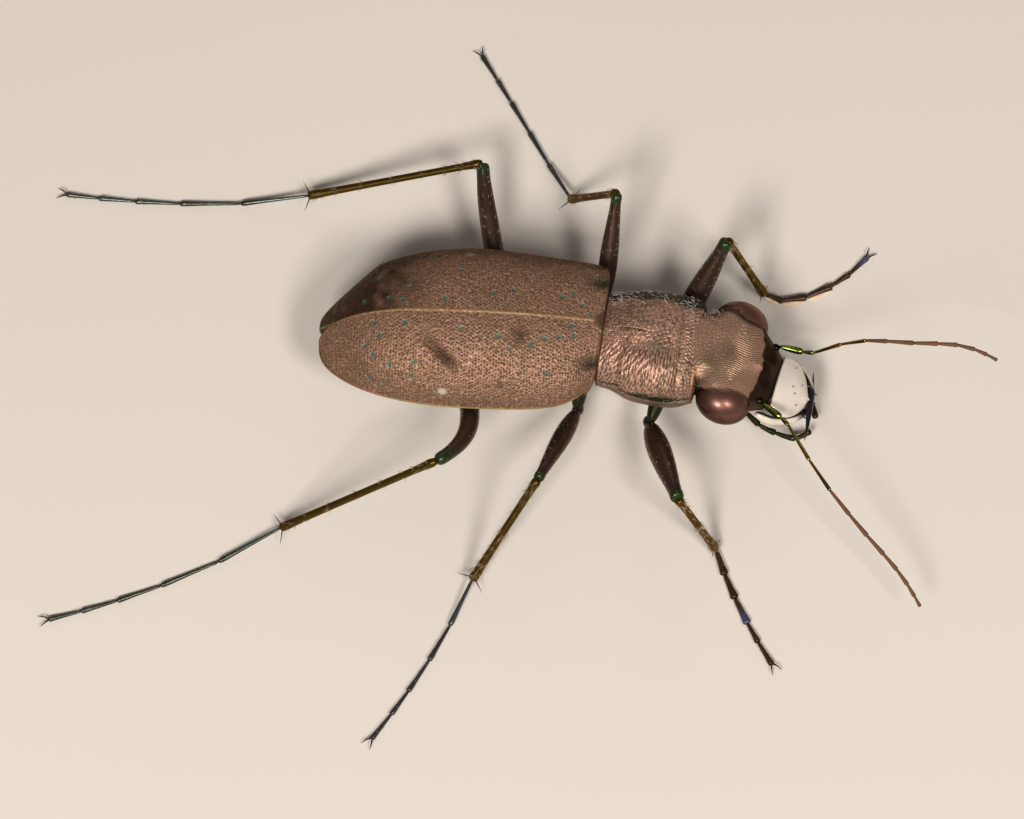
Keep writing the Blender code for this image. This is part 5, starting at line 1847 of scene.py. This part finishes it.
@dataclass
class Legs:
    """Six long legs: coxa, trochanter, femur, tibia with spurs, and tarsus with claws."""

    sizes: dict[str, LegSizes] = table({
        "front": LegSizes(
            femur=3.65, tibia=3.2, tarsus=4.25,
            femur_radius=0.4, tibia_radius=0.15, tarsus_radius=0.095,
            tarsus_joints=(0.95, 0.95, 0.95, 0.75, 0.9),
            spur=0.4, coxa=(1.9, 0.7, 1.9),
        ),
        "mid": LegSizes(
            femur=3.75, tibia=4.1, tarsus=6.1,
            femur_radius=0.31, tibia_radius=0.15, tarsus_radius=0.082,
            tarsus_joints=(1.58, 1.28, 1.27, 0.88, 1.0),
            spur=0.6, coxa=(-0.5, 0.9, 1.8),
        ),
        "hind": LegSizes(
            femur=4.9, tibia=6.0, tarsus=7.9,
            femur_radius=0.32, tibia_radius=0.14, tarsus_radius=0.082,
            tarsus_joints=(2.28, 1.84, 1.53, 1.14, 1.05),
            spur=0.62, coxa=(-2.4, 0.75, 1.75), thigh_form="long_femur",
        ),
    })
    poses: dict[str, LegPose] = table({
        "front_left": LegPose(
            (5.3, 1.7, 1.0), (50.4, 50.6), (-25.3, -64.4), (-4, 50),
            Finish.FOOT_BROWN, accent=4, pad_reach=0.1,
        ),
        "front_right": LegPose(
            (4.32, -1.83, 1.43), (-75.5, 26.6), (-24.0, -64.5), (-73, -59),
            Finish.FOOT_BROWN, accent=2, pad_reach=-0.04,
        ),
        "mid_left": LegPose(
            (2.89, 2.48, 1.32), (80.9, 47.2), (135.3, -60.9), (117, 120),
            Finish.FOOT_STEEL,
        ),
        "mid_right": LegPose(
            (2.03, -1.28, 1.2), (-112.5, 29.1), (-130.9, -39.7), (-114, -128),
            Finish.FOOT_STEEL,
        ),
        "hind_left": LegPose(
            (-0.25, 2.15, 1.05), (98.8, 16.7), (-177.2, -19.0), (185, 172),
            Finish.FOOT_TEAL, bow=-0.08,
        ),
        "hind_right": LegPose(
            (-1.3, 0.17, 1.05), (-104.9, 30.7), (-168.4, -32.2), (-149, -166),
            Finish.FOOT_TEAL, bow=0.6,
        ),
    })
    touchdown: float = 0.4
    rest: float = 0.1
    claw: float = 0.42
    spur_spread: float = 66.0
    spur_radius: float = 0.03
    coxa_radii: Pair = (0.27, 0.32)
    hind_root: Pair = (0.0, 1.9)
    trochanter: Place = (0.3, 0.2, 0.2)
    bow_power: float = 2.1
    bow_scale: float = 6.9
    fuzz_bands: int = 30
    count_along: Place = (0.61, 0.77, 0.18)
    fuzz_clearance: float = 0.02
    padded_joints: int = 3
    padded_width: float = 1.3
    pad_drop: float = 0.06
    pad_radius: float = 0.04
    templates: dict[str, Piece] = field(default_factory=dict)

    def make_templates(self) -> None:
        """Each repeated form, along X with length and radius 1."""
        for name, (sides, levels, profile) in LEG_FORMS.items():
            self.templates[name] = turned(name, profile, sides, levels)

    def limb(
        self, form: str, start: Vector, end: Vector, radius: float, flat: float = 1.0
    ) -> Piece:
        """A copy of a form between two places."""
        size = Matrix.Diagonal(((end - start).length, radius * flat, radius, 1))
        return copy_of(self.templates[form], frame_along(start, end - start) @ size)

    def thigh(self, hip: Vector, knee: Vector, sizes: LegSizes, bow: float) -> Piece:
        """The femur, bent forward by bow towards its knee, with its painted ends."""
        femur = copy_of(
            self.templates[sizes.thigh_form],
            Matrix.Diagonal((1, sizes.femur_radius, sizes.femur_radius, 1)),
        )
        along = points_of(femur)[:, 0]
        part = np.linspace(0, 1, 33)[:, None]
        path = np.array(hip) * (1 - part) + np.array(knee) * part
        path[:, :1] += bow * self.bow_scale * part**self.bow_power * (1 - part)
        bend_along(femur, path)
        paint(femur, "patch", step(0.88, 0.96, along) * 0.75)
        paint(femur, "edge", step(0.05, 0.0, along))
        return femur

    def foot_path(self, ankle: Vector, sizes: LegSizes, pose: LegPose) -> list[Vector]:
        """Middle line of the tarsus: down from the ankle, then flat along the floor."""
        count = 61
        places = [ankle]
        stride = sizes.tarsus / (count - 1)
        for index in range(1, count):
            part = index / (count - 1)
            turn = pose.tarsus[0] + (pose.tarsus[1] - pose.tarsus[0]) * part
            left = max(1 - part / self.touchdown, 0)
            height = self.rest + (ankle.z - self.rest) * left**2
            fall = places[-1].z - height
            ahead = heading(turn, 0) * math.sqrt(max(stride**2 - fall**2, 0))
            places.append(Vector((places[-1].x + ahead.x, places[-1].y + ahead.y, height)))
        return places

    def fuzz(
        self, hairs: Hairs, skin: Piece, ahead: Vector, count: int, length: Pair, row: float,
        seed: int,
    ) -> None:
        """Plants bristles on a limb's skin.

        Extruding leaves a limb's points in an order that changes from run to run,
        so they are counted along a fixed direction instead.

        Args:
            hairs: The bristles that they join.
            skin: The limb, in the frame of the part.
            ahead: Towards the limb's far end.
            count: How many bristles.
            length: Their least and greatest length.
            row: Where this limb's band lies on the unwrap.
            seed: Number that names this draw.
        """
        draw = default_rng(seed)
        order = np.argsort(points_of(skin) @ self.count_along)
        points, normals = points_of(skin)[order], normals_of(skin)[order]
        axis = np.array(ahead.normalized())
        along = points @ axis
        part = (along - along.min()) / np.ptp(along)
        near = np.flatnonzero((part > 0.04) & (part < 0.96))
        band = (part[near] * self.fuzz_bands).astype(int)
        rarity = 1 / np.bincount(band)[band]
        chosen = draw.choice(near, count, p=rarity / rarity.sum())
        roots, out = points[chosen], normals[chosen]
        roots = roots + axis * draw.uniform(-0.06, 0.06, (count, 1)) - out * 0.008
        size = draw.uniform(*length, (count, 1))
        ways = (out * 0.7 + axis * 0.7 + draw.normal(0, 0.12, out.shape)) * size
        lowest = roots[:, 2] + np.minimum(ways[:, 2], 0)
        clear = lowest > self.fuzz_clearance
        turn = np.arctan2(out[:, 2], out[:, 0] - out[:, 1])
        unwrap = np.stack([part[chosen], row + 0.12 * (turn / math.pi + 1) / 2], axis=1)
        hairs.add(roots[clear], ways[clear], (axis * 0.2 * size)[clear], unwrap[clear])

    def leg(self, name: str) -> None:
        """One leg, from its coxa to its claws, with its bristles."""
        pair, side_name = name.split("_")
        sizes, pose = self.sizes[pair], self.poses[name]
        hip = Vector(pose.hip)
        knee = hip + heading(*pose.femur) * sizes.femur
        shin = heading(*pose.tibia)
        ankle = knee + shin * sizes.tibia
        seed = sum(map(ord, name))
        pale = Hairs(f"{name}_pale_bristles", Finish.WHITE_HAIR, "femur", radius=0.0055)
        brown = Hairs(f"{name}_brown_bristles", Finish.BROWN_HAIR, "tibia", radius=0.0065)

        self.hip(name, pair, side_name, hip, knee)
        femur = self.thigh(hip, knee, sizes, pose.bow)
        self.fuzz(pale, femur, knee - hip, 120, (0.08, 0.18), 0.05, seed)
        hand_over(femur, f"{name}_thigh", Finish.FEMUR, [f"{name}_femur"])

        tibia = self.limb("tibia", knee, ankle, sizes.tibia_radius)
        self.fuzz(brown, tibia, shin, 150, (0.1, 0.19), 0.3, seed + 1)
        if name in ("mid_right", "front_right"):
            brush = self.limb("tibia", knee.lerp(ankle, 0.5), ankle, sizes.tibia_radius)
            self.fuzz(brown, brush, shin, 160, (0.1, 0.16), 0.5, 5)
            drop(brush)
        spurs = self.spurs(ankle, shin, sizes.spur)
        hand_over(tibia, f"{name}_shin", Finish.SHIN, [f"{name}_tibia"])
        hand_over(spurs, f"{name}_spurs", Finish.SPINE)
        self.foot(name, sizes, pose, self.foot_path(ankle, sizes, pose), brown, seed)
        pale.build()
        brown.build()

    def hip(self, name: str, pair: str, side_name: str, hip: Vector, knee: Vector) -> None:
        """Coxa and the shiny trochanter bead."""
        stance = PROTHORAX if pair == "front" else HIND_BODY
        x, y, z = self.sizes[pair].coxa
        root = stance.matrix() @ Vector((x, SIDES[side_name] * y, z))
        if pair == "hind":
            root = hip.lerp(stance.matrix() @ Vector((x, *self.hind_root)), 0.6)
        ahead = (hip - root).normalized()
        size = Matrix.Diagonal(((hip - root).length * 0.55, *self.coxa_radii, 1))
        frame = frame_along(root.lerp(hip, 0.45), ahead)
        coxa = copy_of(self.templates["bead"], frame @ size)
        nodes = [] if pair == "hind" else [f"{name}_coxa"]
        hand_over(coxa, f"{name}_hip", Finish.DARK_SKIN, nodes)
        thigh = (knee - hip).normalized()
        size = Matrix.Diagonal((*self.trochanter, 1))
        bead = copy_of(self.templates["bead"], frame_along(hip - thigh * 0.06, thigh) @ size)
        hand_over(bead, f"{name}_trochanter", Finish.JAW)

    def spurs(self, ankle: Vector, shin: Vector, length: float) -> Piece:
        """The two movable spines at the end of the tibia."""
        across = Vector((-shin.y, shin.x, 0)).normalized()
        spines = []
        spread = math.radians(self.spur_spread)
        for turn in (-1, 1):
            way = shin * math.cos(spread) + across * turn * math.sin(spread)
            start = ankle - shin * 0.1
            spines.append(self.limb("spine", start, start + way * length, self.spur_radius))
        return join(spines, "spurs")

    def foot(
        self, name: str, sizes: LegSizes, pose: LegPose, path: list[Vector], brown: Hairs,
        seed: int,
    ) -> None:
        """Five tarsus joints along the foot's path, two claws, and the male's front pads."""
        total = sum(sizes.tarsus_joints)
        gone, joints, pads = 0.0, [], []
        for index, length in enumerate(sizes.tarsus_joints):
            start = path[round(gone / total * (len(path) - 1))]
            gone += length
            end = path[round(gone / total * (len(path) - 1))]
            padded = name.startswith("front") and index < self.padded_joints
            flat = self.padded_width if padded else 1.0
            joint = self.limb("tarsus", start, end, sizes.tarsus_radius, flat)
            along = (points_of(joint) - np.array(start)) @ np.array(end - start)
            along /= (end - start).length ** 2
            ends = np.maximum(step(0.06, 0.0, along), step(0.95, 1.0, along))
            paint(joint, "deep", ends * 0.8)
            glow = 0.7 * step(0.35, 0.75, along) * (index == pose.accent)
            paint(joint, "patch", glow)
            self.fuzz(brown, joint, end - start, 14, (0.06, 0.12), 0.8, seed + index)
            joints.append(joint)
            if padded:
                side = Vector((end.y - start.y, start.x - end.x, 0)).normalized()
                away = side * pose.pad_reach - Vector((0, 0, self.pad_drop))
                middle = start.lerp(end, 0.5) + away
                far_end = start.lerp(end, 0.97) + away
                pads.append(self.limb("bead", middle, far_end, self.pad_radius, 2.2))
        last = (path[-1] - path[-2]).normalized()
        turn = math.degrees(math.atan2(last.y, last.x))
        for way in (-1, 1):
            start = path[-1] - last * 0.05
            middle = start + heading(turn + way * 30, 22) * self.claw * 0.5
            tip = middle + heading(turn + way * 22, -24) * self.claw * 0.55
            claw = copy_of(self.templates["claw"], Matrix.Identity(4))
            bend_along(claw, smooth_path([start, middle, tip], 12))
            paint(claw, "deep", 1.0)
            joints.append(claw)
        whole = join(joints, "foot")
        hand_over(whole, f"{name}_foot", pose.foot, [f"{name}_tarsus"])
        if pads:
            hand_over(join(pads, "pads"), f"{name}_pads", Finish.CREAM_PAD)

    def build(self) -> None:
        """All six legs."""
        self.make_templates()
        for name in self.poses:
            self.leg(name)
        drop(*self.templates.values())


# Studio


@dataclass
class Studio:
    """Pale floor, soft light and the camera."""

    lens: float = 200.0
    pitch: float = 22.0
    camera_place: Place = (-0.000032, -0.068833, 0.168531)
    clip_start: float = 0.01
    floor_size: float = 2.0
    room_colour: Colour = (1.0, 0.98, 0.95)
    room_strength: float = 0.12
    lamps: tuple[tuple[str, Colour, float, float], ...] = (
        ("key", (-0.055, -0.15, 0.178), 0.06, 0.44),
        ("second", (0.085, -0.125, 0.188), 0.055, 0.28),
        ("back", (0.02, 0.22, 0.16), 0.1, 0.04),
    )

    def light(self, name: str, place: Colour, size: float, power: float) -> None:
        """A square soft light that faces the beetle."""
        lamp = bpy.data.lights.new(name, "AREA")
        lamp.shape = "SQUARE"
        lamp.size = size
        lamp.energy = power
        obj = bpy.data.objects.new(name, lamp)
        obj.location = place
        obj.rotation_euler = (-Vector(place)).to_track_quat("-Z", "Y").to_euler()
        bpy.context.scene.collection.objects.link(obj)

    def floor(self) -> None:
        """One big plain sheet."""
        obj = fresh("floor", bpy.ops.mesh.primitive_plane_add, size=self.floor_size)
        obj.data.materials.append(Ground().material())

    def build(self) -> None:
        """Floor, light and camera."""
        self.floor()
        for lamp in self.lamps:
            self.light(*lamp)
        world = bpy.data.worlds.new("soft_room")
        world.use_nodes = True
        background = world.node_tree.nodes["Background"]
        background.inputs["Color"].default_value = (*self.room_colour, 1)
        background.inputs["Strength"].default_value = self.room_strength
        bpy.context.scene.world = world
        bpy.context.scene.view_settings.view_transform = "Standard"
        camera = bpy.data.cameras.new("camera")
        camera.lens = self.lens
        camera.sensor_width = 36.0
        camera.clip_start = self.clip_start
        obj = bpy.data.objects.new("camera", camera)
        obj.location = self.camera_place
        obj.rotation_euler = (math.radians(self.pitch), 0, 0)
        bpy.context.scene.collection.objects.link(obj)
        bpy.context.scene.camera = obj


def main() -> None:
    """Builds the beetle, then the studio."""
    logging.basicConfig(level=logging.INFO, format="%(message)s")
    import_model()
    covers = WingCovers()
    covers.build()
    Trunk(covers).build()
    Pronotum().build()
    Head().build()
    Mouth().build()
    Feelers().build()
    Legs().build()
    Studio().build()


if __name__ == "__main__":
    main()
